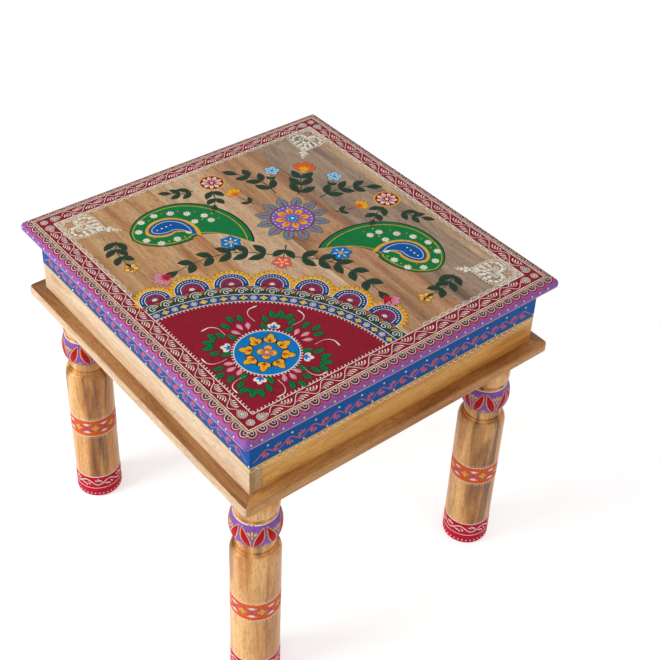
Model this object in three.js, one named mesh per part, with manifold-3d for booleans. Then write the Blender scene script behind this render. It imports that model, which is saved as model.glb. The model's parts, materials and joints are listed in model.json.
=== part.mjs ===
import * as THREE from 'three';
import { mergeVertices } from 'three/addons/utils/BufferGeometryUtils.js';
import Module from 'manifold-3d';

// Bajot low table: a boarded top on a shallow box, a mitred base moulding under the
// box and four turned legs, each held by a hanger bolt through a corner block.
// Millimetres, +Z up, origin on the floor under the middle of the top. X runs across
// the top boards and Y along them. The front corner is the one at -X, -Y.

// Driving dimensions
const tableHeight = 390;
const topWidth = 400;
const topLength = 414;
const topThickness = 12;
const topOverhang = 15.5;
const apronHeight = 75;
const apronThickness = 15;
const mouldingThickness = 12;
const mouldingWidth = 72;
const mouldingProjection = 14.5;
const legInset = 43;

// Top boards, as shares of the top's width from -X to +X
const boardWidthShares = [0.178, 0.18, 0.182, 0.178, 0.175, 0.107];
const topCornerRadius = 5;
const ovoloReach = 11.6;
const ovoloDrop = 6.5;
const topLowerRound = 3;

// Base moulding. Its outer edge is rounded above and below, each a share of its thickness.
const mouldingCornerRadius = 6;
const mouldingEdgeShare = 0.22;

// Battens under the top
const battenWidth = 32;
const battenThickness = 14;
const battenSpacing = 180;
const battenChamfer = 3;
const battenScrewRoom = 20;

// Corner blocks
const blockSide = 48;
const blockHeight = 30;
const blockCut = 26;

// Turned leg, from the floor up
const footEdge = 3.5;
const footHeight = 33;
const footRadius = 27;
const bodyRadius = 26.6;
const shoulderHeight = 10;
const shoulderRadius = 22.2;
const filletHeight = 3;
const filletRadius = 21.6;
const ringHeight = 12;
const ringRadius = 21.2;
const ringEndRadius = 19.4;
const ballHeight = 35;
const ballRadius = 27.2;
const ballEndRadius = 19;
const grooveHeight = 2;
const beadHeight = 17;
const beadRadius = 24.4;
const beadEndRadius = 21.4;
const coveHeight = 10;
const coveRadius = 20.4;
const collarHeight = 17;
const collarRadius = 26;
const collarEdge = 2.5;

// Hanger bolts, washers and nuts, M8
const boltRadius = 4;
const boltEmbed = 40;
const boltTip = 6;
const boltChamfer = 0.8;
const boltProtrusion = 2.4;
const washerRadius = 8;
const washerThickness = 1.6;
const nutAcrossFlats = 13;
const nutHeight = 6.5;

// Countersunk wood screws
const screwRadius = 2;
const screwHeadRadius = 4;
const screwHeadDepth = 2.4;
const screwTip = 3;
const slotWidth = 1;
const slotDepth = 1.1;
const battenScrewLength = 20;
const mouldingScrewLength = 28;
const mouldingScrewSpacing = 180;

// Fits: the line between glued faces, the play round a fastener, the wider hole that
// the bolt drops through, and how far a cutting shape runs past what it cuts
const glueLine = 0.3;
const fastenerPlay = 0.3;
const boltHolePlay = 0.6;
const overrun = 5;

// Steps round each curve
const edgeSteps = 5;
const cornerSteps = 4;
const bulgeSteps = 2;
const legSteps = 28;
const boltSteps = 12;
const screwSteps = 10;
const holeSteps = 12;

// Levels and half sizes that follow
const topSeat = tableHeight - topThickness;
const apronSeat = topSeat - apronHeight;
const legHeight = apronSeat - mouldingThickness;
const legAxisX = topWidth / 2 - legInset;
const legAxisY = topLength / 2 - legInset;
const apronHalfX = topWidth / 2 - topOverhang;
const apronHalfY = topLength / 2 - topOverhang;
const mouldingHalfX = apronHalfX + mouldingProjection;
const mouldingHalfY = apronHalfY + mouldingProjection;
const mouldingToLegAxis = legInset - topOverhang + mouldingProjection;
const apronToLegAxis = legInset - topOverhang - apronThickness;
const mouldingToApronMiddle = mouldingProjection + apronThickness / 2;
const quarterTurn = Math.PI / 2;

const wasm = await Module();
wasm.setup();

// A three.js geometry as a solid that can be cut. A lathed pole leaves triangles
// without area, and they are dropped.
function solidOf(geometry) {
  const bare = geometry.clone();
  bare.deleteAttribute('normal');
  bare.deleteAttribute('uv');
  const welded = mergeVertices(bare);
  const corners = welded.index.array;
  const kept = [];
  for (let i = 0; i < corners.length; i += 3) {
    const [a, b, c] = corners.slice(i, i + 3);
    if (a !== b && b !== c && c !== a) kept.push(a, b, c);
  }
  return new wasm.Manifold(new wasm.Mesh({
    numProp: 3,
    vertProperties: new Float32Array(welded.attributes.position.array),
    triVerts: new Uint32Array(kept),
  }));
}

function geometryOf(solid) {
  const mesh = solid.getMesh();
  const geometry = new THREE.BufferGeometry();
  geometry.setAttribute('position', new THREE.BufferAttribute(mesh.vertProperties, 3));
  geometry.setIndex(new THREE.BufferAttribute(mesh.triVerts, 1));
  geometry.computeVertexNormals();
  return geometry;
}

// Extrusions: straight up, and along X or Y of a section drawn across and up
function extrudeUp(shape, height, steps) {
  return new THREE.ExtrudeGeometry(shape, { depth: height, bevelEnabled: false, curveSegments: steps });
}

function extrudeAlongY(section, length, steps) {
  return extrudeUp(section, length, steps).rotateX(quarterTurn).translate(0, length / 2, 0);
}

function extrudeAlongX(section, length, steps) {
  return extrudeAlongY(section, length, steps).rotateZ(quarterTurn);
}

function lathe(points, steps) {
  return new THREE.LatheGeometry(points, steps).rotateX(quarterTurn);
}

function uprightCylinder(radius, bottom, top) {
  const height = top - bottom;
  return new THREE.CylinderGeometry(radius, radius, height, holeSteps)
    .rotateX(quarterTurn)
    .translate(0, 0, bottom + height / 2);
}

function box(left, right, front, back, bottom, top) {
  return new THREE.BoxGeometry(right - left, back - front, top - bottom)
    .translate((left + right) / 2, (front + back) / 2, (bottom + top) / 2);
}

function roundedRectangle(width, length, radius) {
  const x = width / 2 - radius;
  const y = length / 2 - radius;
  const shape = new THREE.Shape();
  shape.absarc(x, y, radius, 0, quarterTurn, false);
  shape.absarc(-x, y, radius, quarterTurn, 2 * quarterTurn, false);
  shape.absarc(-x, -y, radius, 2 * quarterTurn, 3 * quarterTurn, false);
  shape.absarc(x, -y, radius, 3 * quarterTurn, 4 * quarterTurn, false);
  return shape;
}

// Countersunk screw with its head down: the head's flat face is at z = 0 and the
// point is up. Grown by the play, the same outline is the hole that takes it.
function screwOutline(length, play) {
  const radius = screwRadius + play;
  return [
    new THREE.Vector2(0, 0),
    new THREE.Vector2(screwHeadRadius + play, 0),
    new THREE.Vector2(radius, screwHeadDepth),
    new THREE.Vector2(radius, length - screwTip + play),
    new THREE.Vector2(0, length + play),
  ];
}

function screwGeometry(length) {
  const slot = box(
    -screwHeadRadius - overrun, screwHeadRadius + overrun,
    -slotWidth / 2, slotWidth / 2,
    -overrun, slotDepth,
  );
  const shank = solidOf(lathe(screwOutline(length, 0), screwSteps));
  return geometryOf(shank.subtract(solidOf(slot)));
}

// The hole starts below the head, so that it opens on the face the head is flush with
function screwHole(length, x, y, headLevel) {
  const hole = solidOf(lathe(screwOutline(length, fastenerPlay), screwSteps));
  const mouth = solidOf(uprightCylinder(screwHeadRadius + fastenerPlay, -overrun, 0));
  return hole.add(mouth).translate(x, y, headLevel);
}

// Top board ends and long edges: a flat ovolo, a short upright and a small round below
function topSection(span) {
  const half = span / 2;
  const ovoloCentre = half - ovoloReach;
  const ovoloLevel = topThickness - ovoloDrop;
  const roundCentre = half - topLowerRound;
  const section = new THREE.Shape();
  section.absarc(roundCentre, topLowerRound, topLowerRound, -quarterTurn, 0, false);
  section.absellipse(ovoloCentre, ovoloLevel, ovoloReach, ovoloDrop, 0, quarterTurn, false);
  section.absellipse(-ovoloCentre, ovoloLevel, ovoloReach, ovoloDrop, quarterTurn, 2 * quarterTurn, false);
  section.absarc(-roundCentre, topLowerRound, topLowerRound, 2 * quarterTurn, 3 * quarterTurn, false);
  return section;
}

// Left and right side of every board, half a glue line short of each seam, and the
// middle of the stretch of it that shows inside the box
function boardSides() {
  const inside = apronHalfX - apronThickness;
  const sides = [];
  let seam = -topWidth / 2;
  boardWidthShares.forEach((share, index) => {
    const next = seam + share * topWidth;
    const isFirst = index === 0;
    const isLast = index === boardWidthShares.length - 1;
    const innerLeft = Math.max(seam, -inside);
    const innerRight = Math.min(next, inside);
    sides.push({
      left: isFirst ? -topWidth / 2 - overrun : seam + glueLine / 2,
      right: isLast ? topWidth / 2 + overrun : next - glueLine / 2,
      innerMiddle: (innerLeft + innerRight) / 2,
      innerWidth: innerRight - innerLeft,
    });
    seam = next;
  });
  return sides;
}

// A board takes a screw from each batten where enough of it lies inside the box: the
// narrow one lies on the box's side instead, and is glued there
const battenScrewPlaces = boardSides()
  .filter((board) => board.innerWidth > battenScrewRoom)
  .map((board) => board.innerMiddle);

const battenRows = [
  { name: 'front', y: -battenSpacing / 2 },
  { name: 'back', y: battenSpacing / 2 },
];

function topBoardGeometries() {
  const across = solidOf(extrudeAlongY(topSection(topWidth), topLength + 2 * overrun, edgeSteps));
  const along = solidOf(extrudeAlongX(topSection(topLength), topWidth + 2 * overrun, edgeSteps));
  const plan = roundedRectangle(topWidth, topLength, topCornerRadius);
  const prism = solidOf(extrudeUp(plan, topThickness + 2 * overrun, cornerSteps)).translate(0, 0, -overrun);
  const slab = across.intersect(along).intersect(prism);
  const reach = topLength / 2 + overrun;
  return boardSides().map((board) => {
    const strip = solidOf(box(board.left, board.right, -reach, reach, -overrun, topThickness + overrun));
    let body = slab.intersect(strip);
    for (const row of battenRows) {
      for (const x of battenScrewPlaces) {
        if (x > board.left && x < board.right) {
          body = body.subtract(screwHole(battenScrewLength, x, row.y, -battenThickness));
        }
      }
    }
    return geometryOf(body);
  });
}

// Batten with its lower long edges chamfered, its top face at z = 0
function battenGeometry() {
  const half = battenWidth / 2;
  const section = new THREE.Shape([
    new THREE.Vector2(-half + battenChamfer, -battenThickness),
    new THREE.Vector2(half - battenChamfer, -battenThickness),
    new THREE.Vector2(half, -battenThickness + battenChamfer),
    new THREE.Vector2(half, 0),
    new THREE.Vector2(-half, 0),
    new THREE.Vector2(-half, -battenThickness + battenChamfer),
  ]);
  const length = 2 * (apronHalfX - apronThickness - glueLine);
  let body = solidOf(extrudeAlongX(section, length, edgeSteps));
  for (const x of battenScrewPlaces) {
    body = body.subtract(screwHole(battenScrewLength, x, 0, -battenThickness));
  }
  return geometryOf(body);
}

// Places of the two screws along one side, from its middle
const sideScrewPlaces = [-mouldingScrewSpacing / 2, mouldingScrewSpacing / 2];

// Apron board of one side: outer face at y = 0, lower edge at z = 0. 'half' is half the
// length of the box. The board covers the end of the next one on its right and stops
// against the inner face of the one on its left.
function apronGeometry(half) {
  const leftEnd = -half + apronThickness + glueLine;
  let body = solidOf(box(leftEnd, half, 0, apronThickness, 0, apronHeight));
  for (const x of sideScrewPlaces) {
    body = body.subtract(screwHole(mouldingScrewLength, x, apronThickness / 2, -mouldingThickness));
  }
  return geometryOf(body);
}

// Moulding rail of one side: outer edge at y = 0, underside at z = 0, mitred ends
function mouldingGeometry(length, depth) {
  const edge = mouldingEdgeShare * mouldingThickness;
  const section = new THREE.Shape();
  section.moveTo(mouldingWidth, 0);
  section.lineTo(mouldingWidth, mouldingThickness);
  section.lineTo(edge, mouldingThickness);
  section.absarc(edge, mouldingThickness - edge, edge, quarterTurn, 2 * quarterTurn, false);
  section.lineTo(0, edge);
  section.absarc(edge, edge, edge, 2 * quarterTurn, 3 * quarterTurn, false);
  const bar = solidOf(extrudeAlongX(section, length, edgeSteps));

  const half = length / 2 - glueLine / Math.SQRT2;
  const mitred = new THREE.Shape([
    new THREE.Vector2(-half - overrun, -overrun),
    new THREE.Vector2(half + overrun, -overrun),
    new THREE.Vector2(half - mouldingWidth - overrun, mouldingWidth + overrun),
    new THREE.Vector2(-half + mouldingWidth + overrun, mouldingWidth + overrun),
  ]);
  const outline = roundedRectangle(length, depth, mouldingCornerRadius);
  const height = mouldingThickness + 2 * overrun;
  const wedge = solidOf(extrudeUp(mitred, height, cornerSteps)).translate(0, 0, -overrun);
  const plan = solidOf(extrudeUp(outline, height, cornerSteps)).translate(0, depth / 2, -overrun);
  let body = bar.intersect(wedge).intersect(plan);

  const legPlace = length / 2 - mouldingToLegAxis;
  const holeRadius = boltRadius + boltHolePlay;
  const drill = solidOf(uprightCylinder(holeRadius, -overrun, mouldingThickness + overrun));
  for (const x of [-legPlace, legPlace]) {
    body = body.subtract(drill.translate(x, mouldingToLegAxis, 0));
  }
  for (const x of sideScrewPlaces) {
    body = body.subtract(screwHole(mouldingScrewLength, x, mouldingToApronMiddle, 0));
  }
  return geometryOf(body);
}

// Corner block: a square with its inner corner cut off, bored on the leg's axis,
// which is at the origin
function cornerBlockGeometry() {
  const near = -apronToLegAxis + glueLine;
  const far = -apronToLegAxis + blockSide;
  const outline = new THREE.Shape([
    new THREE.Vector2(near, near),
    new THREE.Vector2(far, near),
    new THREE.Vector2(far, far - blockCut),
    new THREE.Vector2(far - blockCut, far),
    new THREE.Vector2(near, far),
  ]);
  const block = solidOf(extrudeUp(outline, blockHeight, cornerSteps));
  const drill = solidOf(uprightCylinder(boltRadius + boltHolePlay, -overrun, blockHeight + overrun));
  return geometryOf(block.subtract(drill));
}

// Leg outline from the floor up. Every swelling is half an ellipse that stands on the
// radius at its two ends, and the cove is half an ellipse that cuts in.
function legOutline() {
  const outline = new THREE.Path();
  let level = 0;
  const swell = (height, endRadius, middleRadius) => {
    const isHollow = middleRadius < endRadius;
    const reach = Math.abs(middleRadius - endRadius);
    const [from, to] = isHollow ? [3 * quarterTurn, quarterTurn] : [-quarterTurn, quarterTurn];
    outline.absellipse(endRadius, level + height / 2, reach, height / 2, from, to, isHollow);
    level += height;
  };
  outline.moveTo(0, 0);
  outline.lineTo(footRadius - footEdge, 0);
  outline.absellipse(footRadius - footEdge, footEdge, footEdge, footEdge, -quarterTurn, 0, false);
  outline.lineTo(footRadius, footHeight - footEdge);
  outline.lineTo(bodyRadius, footHeight);
  const upperHeights = [
    shoulderHeight, filletHeight, ringHeight, ballHeight, grooveHeight, beadHeight, coveHeight, collarHeight,
  ];
  level = upperHeights.reduce((rest, height) => rest - height, legHeight);
  outline.lineTo(bodyRadius, level);
  outline.absellipse(
    shoulderRadius, level, bodyRadius - shoulderRadius, shoulderHeight, 0, quarterTurn, false,
  );
  level += shoulderHeight;
  outline.lineTo(filletRadius, level);
  level += filletHeight;
  outline.lineTo(filletRadius, level);
  outline.lineTo(ringEndRadius, level);
  swell(ringHeight, ringEndRadius, ringRadius);
  swell(ballHeight, ballEndRadius, ballRadius);
  level += grooveHeight;
  swell(beadHeight, beadEndRadius, beadRadius);
  swell(coveHeight, beadEndRadius, coveRadius);
  outline.lineTo(collarRadius - collarEdge, level);
  outline.lineTo(collarRadius, level + collarEdge);
  outline.lineTo(collarRadius, legHeight);
  outline.lineTo(0, legHeight);
  return outline.getPoints(bulgeSteps);
}

function legGeometry() {
  const turned = solidOf(lathe(legOutline(), legSteps));
  const holeBottom = legHeight - boltEmbed - fastenerPlay;
  const hole = solidOf(uprightCylinder(boltRadius + fastenerPlay, holeBottom, legHeight + overrun));
  return geometryOf(turned.subtract(hole));
}

// Hanger bolt with its wood-thread point at z = 0
function boltGeometry() {
  const clamped = mouldingThickness + blockHeight + washerThickness + nutHeight;
  const length = boltEmbed + clamped + boltProtrusion;
  return lathe([
    new THREE.Vector2(0, 0),
    new THREE.Vector2(boltRadius, boltTip),
    new THREE.Vector2(boltRadius, length - boltChamfer),
    new THREE.Vector2(boltRadius - boltChamfer, length),
    new THREE.Vector2(0, length),
  ], boltSteps);
}

function ringGeometry(shape, height) {
  const hole = new THREE.Path();
  hole.absarc(0, 0, boltRadius + fastenerPlay, 0, 4 * quarterTurn, true);
  shape.holes.push(hole);
  return extrudeUp(shape, height, holeSteps);
}

function washerGeometry() {
  const disc = new THREE.Shape();
  disc.absarc(0, 0, washerRadius, 0, 4 * quarterTurn, false);
  return ringGeometry(disc, washerThickness);
}

function nutGeometry() {
  const nutSides = 6;
  const cornerRadius = nutAcrossFlats / 2 / Math.cos(Math.PI / nutSides);
  const corners = [];
  for (let i = 0; i < nutSides; i += 1) {
    const angle = (2 * Math.PI * i) / nutSides;
    corners.push(new THREE.Vector2(cornerRadius * Math.cos(angle), cornerRadius * Math.sin(angle)));
  }
  return ringGeometry(new THREE.Shape(corners), nutHeight);
}

function wood(color) {
  return new THREE.MeshStandardMaterial({ color, roughness: 0.5, metalness: 0 });
}

function steel() {
  return new THREE.MeshStandardMaterial({ color: 0xb4b6b8, roughness: 0.35, metalness: 1 });
}

function place(parent, name, geometry, material, x, y, z) {
  const mesh = new THREE.Mesh(geometry, material);
  mesh.name = name;
  mesh.position.set(x, y, z);
  parent.add(mesh);
  return mesh;
}

const table = new THREE.Group();

// Top: six boards edge to edge, and two battens screwed up into them
const top = new THREE.Group();
top.position.z = topSeat;
table.add(top);
const boardColors = [0xb98a5a, 0xc08d58, 0xc9a57c, 0xa67c50, 0x8f7358, 0xa0825f];
topBoardGeometries().forEach((geometry, index) => {
  place(top, `top_board_${index + 1}`, geometry, wood(boardColors[index]), 0, 0, 0);
});
const batten = battenGeometry();
const battenScrew = screwGeometry(battenScrewLength);
for (const row of battenRows) {
  place(top, `batten_${row.name}`, batten, wood(0xb08a5c), 0, row.y, 0);
  battenScrewPlaces.forEach((x, index) => {
    const name = `batten_screw_${row.name}_${index + 1}`;
    place(top, name, battenScrew, steel(), x, row.y, -battenThickness);
  });
}

// Four sides of the box. Each is built looking at its outer face and turned into place.
const sides = [
  { name: 'front_right', turns: 0, color: 0xc08a4e, isAcross: true },
  { name: 'back_right', turns: 1, color: 0xd9b98c, isAcross: false },
  { name: 'back_left', turns: 2, color: 0xc08a4e, isAcross: true },
  { name: 'front_left', turns: 3, color: 0xe2c59a, isAcross: false },
];
const mouldingScrew = screwGeometry(mouldingScrewLength);
for (const { name, turns, color, isAcross } of sides) {
  const side = new THREE.Group();
  side.rotation.z = turns * quarterTurn;
  table.add(side);
  const halfDepth = isAcross ? mouldingHalfY : mouldingHalfX;
  const halfLength = isAcross ? mouldingHalfX : mouldingHalfY;
  const rail = mouldingGeometry(2 * halfLength, 2 * halfDepth);
  place(side, `base_moulding_${name}`, rail, wood(0xa87448), 0, -halfDepth, legHeight);
  const apronY = -halfDepth + mouldingProjection;
  const apron = apronGeometry(halfLength - mouldingProjection);
  place(side, `apron_${name}`, apron, wood(color), 0, apronY, apronSeat);
  sideScrewPlaces.forEach((x, index) => {
    const y = -halfDepth + mouldingToApronMiddle;
    place(side, `moulding_screw_${name}_${index + 1}`, mouldingScrew, steel(), x, y, legHeight);
  });
}

// Four corners: leg, block, bolt, washer and nut on one upright axis
const corners = [
  { name: 'front', x: -legAxisX, y: -legAxisY },
  { name: 'right', x: legAxisX, y: -legAxisY },
  { name: 'back', x: legAxisX, y: legAxisY },
  { name: 'left', x: -legAxisX, y: legAxisY },
];
const leg = legGeometry();
const block = cornerBlockGeometry();
const bolt = boltGeometry();
const washer = washerGeometry();
const nut = nutGeometry();
corners.forEach(({ name, x, y }, index) => {
  const corner = new THREE.Group();
  corner.position.set(x, y, 0);
  corner.rotation.z = index * quarterTurn;
  table.add(corner);
  const washerSeat = apronSeat + blockHeight;
  place(corner, `leg_${name}`, leg, wood(0xb98652), 0, 0, 0);
  place(corner, `corner_block_${name}`, block, wood(0xb89468), 0, 0, apronSeat);
  place(corner, `hanger_bolt_${name}`, bolt, steel(), 0, 0, legHeight - boltEmbed);
  place(corner, `washer_${name}`, washer, steel(), 0, 0, washerSeat);
  place(corner, `nut_${name}`, nut, steel(), 0, 0, washerSeat + washerThickness);
});

export default table;
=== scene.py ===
import json
import math
from bisect import bisect_right

import bmesh
import bpy
from mathutils import Matrix, Vector

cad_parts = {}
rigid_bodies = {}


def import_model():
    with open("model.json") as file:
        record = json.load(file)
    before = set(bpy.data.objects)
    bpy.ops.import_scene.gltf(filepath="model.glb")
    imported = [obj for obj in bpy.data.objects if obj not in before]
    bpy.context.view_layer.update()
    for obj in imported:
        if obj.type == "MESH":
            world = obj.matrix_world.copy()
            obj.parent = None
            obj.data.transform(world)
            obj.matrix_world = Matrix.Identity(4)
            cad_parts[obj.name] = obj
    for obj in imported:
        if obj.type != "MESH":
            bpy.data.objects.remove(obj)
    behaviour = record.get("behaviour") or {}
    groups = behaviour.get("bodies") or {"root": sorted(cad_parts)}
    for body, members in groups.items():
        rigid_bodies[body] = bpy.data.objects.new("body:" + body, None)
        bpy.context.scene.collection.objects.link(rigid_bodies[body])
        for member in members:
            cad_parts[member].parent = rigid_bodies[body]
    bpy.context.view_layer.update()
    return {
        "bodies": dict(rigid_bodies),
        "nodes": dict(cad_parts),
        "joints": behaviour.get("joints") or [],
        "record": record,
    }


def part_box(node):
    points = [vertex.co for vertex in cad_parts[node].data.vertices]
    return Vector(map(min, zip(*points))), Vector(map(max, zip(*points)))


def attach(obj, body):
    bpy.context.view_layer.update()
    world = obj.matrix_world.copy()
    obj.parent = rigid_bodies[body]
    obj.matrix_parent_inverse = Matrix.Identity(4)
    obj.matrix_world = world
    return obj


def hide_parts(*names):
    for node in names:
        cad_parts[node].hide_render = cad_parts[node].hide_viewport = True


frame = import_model()

# Places and sizes are in millimetres until a mesh is made
MM = 0.001
TURN = 2 * math.pi
QUARTER = TURN / 4
ROOT2 = math.sqrt(2)


# Sizes that come from the frame
def box_mm(node):
    low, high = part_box(node)
    return Vector(low) / MM, Vector(high) / MM


BOARD_BOXES = [box_mm(f"top_board_{i}") for i in range(1, 7)]
# The wood lies one paint film inside the frame's faces, so that the raised paint ends there
PAINT_FILM = 0.34
TOP_HALF_X = BOARD_BOXES[-1][1].x - PAINT_FILM
TOP_HALF_Y = BOARD_BOXES[0][1].y - PAINT_FILM
TOP_Z = BOARD_BOXES[0][1].z - PAINT_FILM
TOP_UNDER = BOARD_BOXES[0][0].z
SEAMS = [(a[1].x + b[0].x) / 2 for a, b in zip(BOARD_BOXES, BOARD_BOXES[1:])]
APRON_HALF_X = box_mm("apron_back_right")[1].x
APRON_HALF_Y = box_mm("apron_back_left")[1].y
APRON_LOW = box_mm("apron_back_left")[0].z
MOULDING_HALF_X = box_mm("base_moulding_back_right")[1].x
MOULDING_HALF_Y = box_mm("base_moulding_back_left")[1].y
MOULDING_INNER_X = box_mm("base_moulding_back_right")[0].x
MOULDING_LOW = box_mm("base_moulding_back_left")[0].z
LEG_NAMES = ["front", "right", "back", "left"]
LEG_AXES = {name: (box_mm(f"leg_{name}")[0] + box_mm(f"leg_{name}")[1]) / 2 for name in LEG_NAMES}

# Edge of the top, and the painted lines on it, as distances in from the edge
TOP_CORNER = 5.0
OVOLO_REACH = 11.6
OVOLO_DROP = 6.5
LOWER_ROUND = 3.0
OUTER_LINE = 12.2
INNER_LINE = 27.1
SEAM_GAP = 0.14

# Painted band of the box
BLUE_LOW = TOP_Z - 53.5
EASED_EDGE = 0.7

# Mandala in the front corner, from the corner of the inner line
MANDALA_GROUND = 160.0
MANDALA_BLUE = 171.0
MANDALA_GREEN = 184.3
ROSETTE_PLACE = (-112.6, -120.4)


# Colours
def linear(hexa):
    """A colour written as sRGB hex, as the linear values that a shader takes."""
    values = [int(hexa[i:i + 2], 16) / 255 for i in (0, 2, 4)]
    return [v / 12.92 if v <= 0.04045 else ((v + 0.055) / 1.055) ** 2.4 for v in values] + [1.0]


PAINTS = {
    "crimson": "941A2E",
    "red": "C01430",
    "foot_red": "CC1C3C",
    "violet": "8A56B2",
    "plum": "42204F",
    "blue": "0058A4",
    "navy": "0C4484",
    "grape": "54266E",
    "cream": "F0DA8C",
    "sky": "0A7AC6",
    "pale_blue": "A6D2EC",
    "green": "0C7A3E",
    "leaf": "274231",
    "yellow": "E8BE3E",
    "gold": "F2B02A",
    "orange": "EA6324",
    "rust": "C4542E",
    "red_orange": "E2513A",
    "coral": "EE6654",
    "pink": "D88CA0",
    "slate": "6F8798",
    "pearl": "D6CCB8",
    "white": "F2ECDF",
    "dark": "231B1E",
}


# Materials
def new_material(name):
    material = bpy.data.materials.new(name)
    material.use_nodes = True
    tree = material.node_tree
    tree.nodes.clear()
    return material, tree


def add_node(tree, kind, settings=None, inputs=None, stops=()):
    """One node with its settings. An input is a value, or an output socket to link. The stops
    are the places and colours of a colour ramp."""
    node = tree.nodes.new(kind)
    for key, value in (settings or {}).items():
        setattr(node, key, value)
    for key, value in (inputs or {}).items():
        if isinstance(value, bpy.types.NodeSocket):
            tree.links.new(value, node.inputs[key])
        else:
            node.inputs[key].default_value = value
    for index, (position, color) in enumerate(stops):
        elements = node.color_ramp.elements
        element = elements[index] if index < len(elements) else elements.new(position)
        element.position = position
        element.color = color
    return node


def grey(value):
    return [value, value, value, 1.0]


def shade(color, share):
    return [min(c * share, 1.0) for c in color[:3]] + [1.0]


def stretched(tree, grain_axis, across, along, shift):
    """Object coordinates in units of a pattern that is 'across' mm wide and 'along' mm long."""
    coordinates = add_node(tree, "ShaderNodeTexCoord").outputs["Object"]
    scale = [1 / (across * MM)] * 3
    scale["XYZ".index(grain_axis)] = 1 / (along * MM)
    mapping = add_node(
        tree, "ShaderNodeMapping",
        inputs={"Vector": coordinates, "Scale": scale, "Location": (shift, shift * 0.7, shift * 1.3)},
    )
    return mapping.outputs["Vector"]


MIX_COLORS = {"data_type": "RGBA", "blend_type": "MIX"}
MULTIPLY_COLORS = {"data_type": "RGBA", "blend_type": "MULTIPLY"}


# Layers of the grain: the wander of the bands, the dark heart streaks, the long fibres and the
# open pores. Each has its size across and along the grain in mm, a place in the noise, then how
# finely it breaks up, how rough that is and how far it is swirled.
WOOD_GRAIN = (
    ("wander", 46, 240, 0.0, 2.0, 0.5, 0.0),
    ("heart", 20, 420, 9.7, 4.0, 0.62, 0.6),
    ("fibre", 1.1, 40, 1.7, 4.0, 0.7, 0.0),
    ("pore", 0.7, 6.5, 5.3, 1.0, 0.5, 0.0),
)


# How far the bands wander, in band widths, and how many growth lines lie across the figure
GRAIN_WANDER = 2.6
GROWTH_LINES = 95.0
# A knot is this much longer along the grain than across it
KNOT_STRETCH = 2.6


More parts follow.
